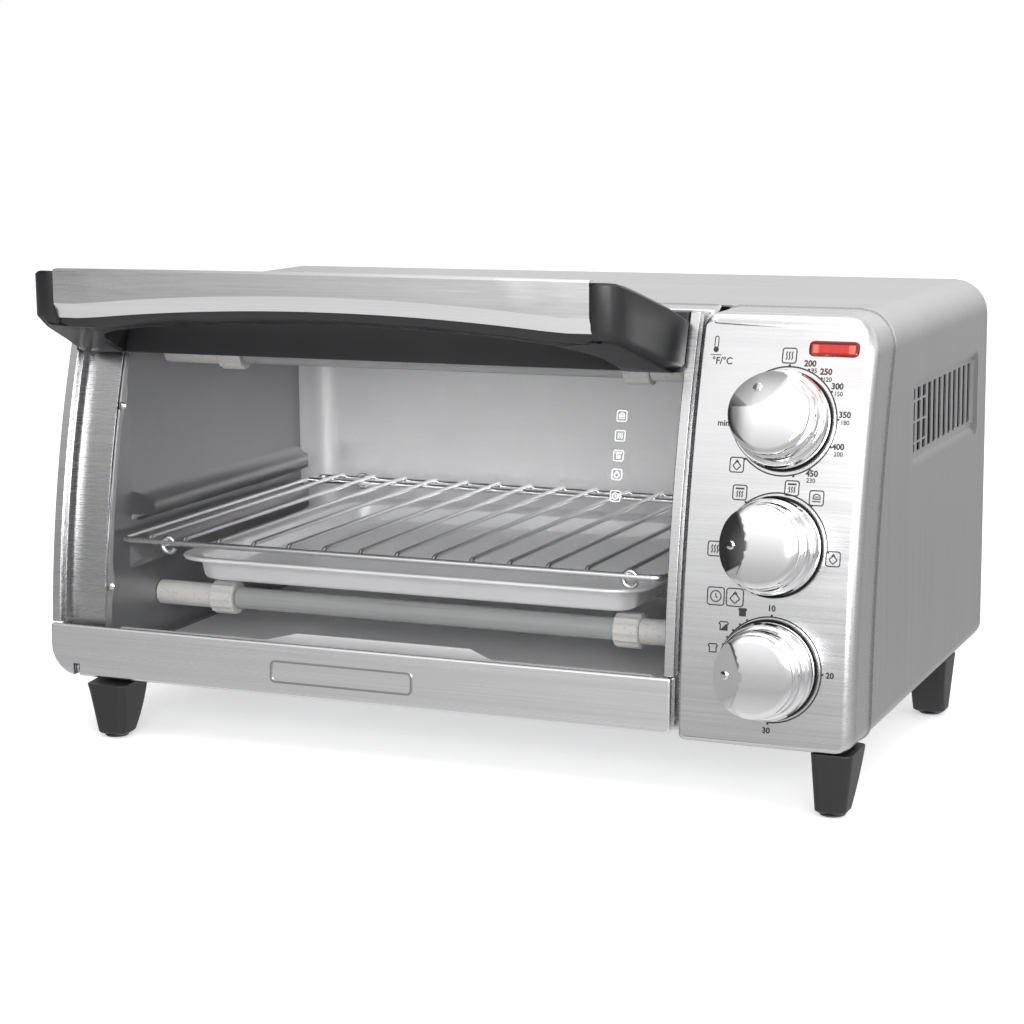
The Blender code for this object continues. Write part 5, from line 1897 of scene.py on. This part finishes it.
@dataclass
class Studio:
    """The floor, the lights and the camera."""

    eye: Place = (0.4669, -1.0775, 0.3105)
    azimuth: float = 23.49
    elevation: float = 9.89
    roll: float = -0.62
    lens: float = 84.16

    def camera(self) -> None:
        """Sets up the camera."""
        turn, rise, roll = map(math.radians, (self.azimuth, self.elevation, self.roll))
        back = Vector((math.sin(turn) * math.cos(rise), -math.cos(turn) * math.cos(rise), math.sin(rise)))
        level = Vector((math.cos(turn), math.sin(turn), 0))
        upward = back.cross(level)
        right = level * math.cos(roll) + upward * math.sin(roll)
        up = upward * math.cos(roll) - level * math.sin(roll)
        data = bpy.data.cameras.new("camera")
        data.lens = self.lens
        data.sensor_width = 36.0
        data.clip_start, data.clip_end = 0.01, 50.0
        camera = bpy.data.objects.new("camera", data)
        bpy.context.scene.collection.objects.link(camera)
        turned = Matrix((right, up, back)).transposed().to_4x4()
        camera.matrix_world = Matrix.Translation(self.eye) @ turned
        bpy.context.scene.camera = camera

    @staticmethod
    def softbox(name: str, place: Place, target: Place, size: tuple[float, float], power: float) -> None:
        """Hangs a soft lamp that faces a point.

        Args:
            name: The lamp's name.
            place: Where it hangs.
            target: The point that it faces.
            size: Its width and height in metres.
            power: Its power in watts.
        """
        data = bpy.data.lights.new(name, "AREA")
        data.shape = "RECTANGLE"
        data.size, data.size_y = size
        data.energy = power
        lamp = bpy.data.objects.new(name, data)
        bpy.context.scene.collection.objects.link(lamp)
        way = Vector(target) - Vector(place)
        lamp.matrix_world = Matrix.Translation(place) @ way.to_track_quat("-Z", "Y").to_matrix().to_4x4()

    def sky(self) -> None:
        """Paints the studio's walls: white to look at, and graded for what they light."""
        world = bpy.data.worlds.new("studio")
        bpy.context.scene.world = world
        world.use_nodes = True
        world.node_tree.nodes.clear()
        graph = Graph(world.node_tree)
        way = graph.node("ShaderNodeTexCoord", output="Generated")
        side, depth, height = (graph.part(way, axis) for axis in "XYZ")
        graded = graph.ramp(height * 0.5 + 0.5, self.tones())
        dimmed = graph.ramp(depth * 0.5 + 0.5, ((0.30, 1.0), (0.75, 0.80)))
        screened = graph.ramp(side * 0.5 + 0.5, self.screen())
        floorward = (height * -12.0).between(0.0, 0.8)
        kept = screened.math("MAXIMUM", screened, floorward)
        multiply = {"data_type": "RGBA", "blend_type": "MULTIPLY"}
        shaded = graph.node("ShaderNodeMix", multiply, {0: 1.0, 6: graded, 7: dimmed}, 2)
        tone = graph.blend(kept, (0.0, 0.0, 0.0, 1.0), shaded)
        lit = graph.node("ShaderNodeBackground", None, {"Color": tone, "Strength": 1.0})
        seen = graph.node("ShaderNodeBackground", None, {"Color": (1, 1, 1, 1), "Strength": 1.0})
        looking = graph.node("ShaderNodeLightPath", output="Is Camera Ray")
        mixed = graph.node("ShaderNodeMixShader", None, {0: looking, 1: lit, 2: seen})
        self.end(graph, mixed)

    @staticmethod
    def end(graph: Graph, shader: Signal) -> None:
        """Links the studio's walls to the world."""
        last = graph.tree.nodes.new("ShaderNodeOutputWorld")
        graph.tree.links.new(shader.socket, last.inputs["Surface"])

    @staticmethod
    def tones() -> tuple[tuple[float, float], ...]:
        """The brightness of the walls from straight down to straight up."""
        below = ((0.0, 0.85), (0.24, 0.84), (0.40, 0.50), (0.48, 0.60))
        return below + ((0.60, 0.98), (0.71, 1.45), (0.88, 1.0), (1.0, 0.8))

    @staticmethod
    def screen() -> tuple[tuple[float, float], ...]:
        """How much light a dark screen on the left lets past, from the left to the right."""
        return ((0.0, 0.04), (0.10, 0.05), (0.21, 0.24), (0.25, 0.75), (0.29, 1.0))

    def floor(self) -> None:
        """Lays the pale floor."""
        bm = bmesh.new()
        bmesh.ops.create_grid(bm, x_segments=1, y_segments=1, size=6.0)
        mesh = bpy.data.meshes.new("floor")
        bm.to_mesh(mesh)
        bm.free()
        floor = bpy.data.objects.new("floor", mesh)
        bpy.context.scene.collection.objects.link(floor)
        floor.location.z = -0.0005
        mesh.materials.append(PaleFloor("pale_floor", "ceramic", (0.93, 0.93, 0.93, 1), 0.7).material())
        floor.visible_glossy = False

    def build(self) -> None:
        """Sets the scene round the oven."""
        self.camera()
        self.sky()
        self.floor()
        self.softbox("key", (0.3, -1.1, 2.0), (0, 0, 0.1), (1.4, 1.0), 9.0)
        self.softbox("top", (0.2, 0.1, 1.7), (0, 0, 0.1), (1.6, 1.2), 8.0)
        self.softbox("fill", (1.5, -0.8, 0.7), (0, 0, 0.1), (0.7, 1.2), 3.0)
        self.softbox("inside", (0.55, -1.35, 0.50), (-0.05, 0.1, 0.12), (0.8, 0.5), 14.0)
        bpy.context.scene.view_settings.view_transform = "Standard"


def main() -> None:
    """Builds the studio and every sub-assembly, and reports the pieces."""
    logging.basicConfig(level=logging.INFO, format="%(message)s")
    Studio().build()
    for part in (Shells(), ControlPanel(), Cavity(), Rack(), Door(), Feet()):
        for piece in part.build():
            LOG.info("%s: %s, %d faces", type(part).__name__, piece.name, len(piece.data.polygons))


if __name__ == "__main__":
    main()
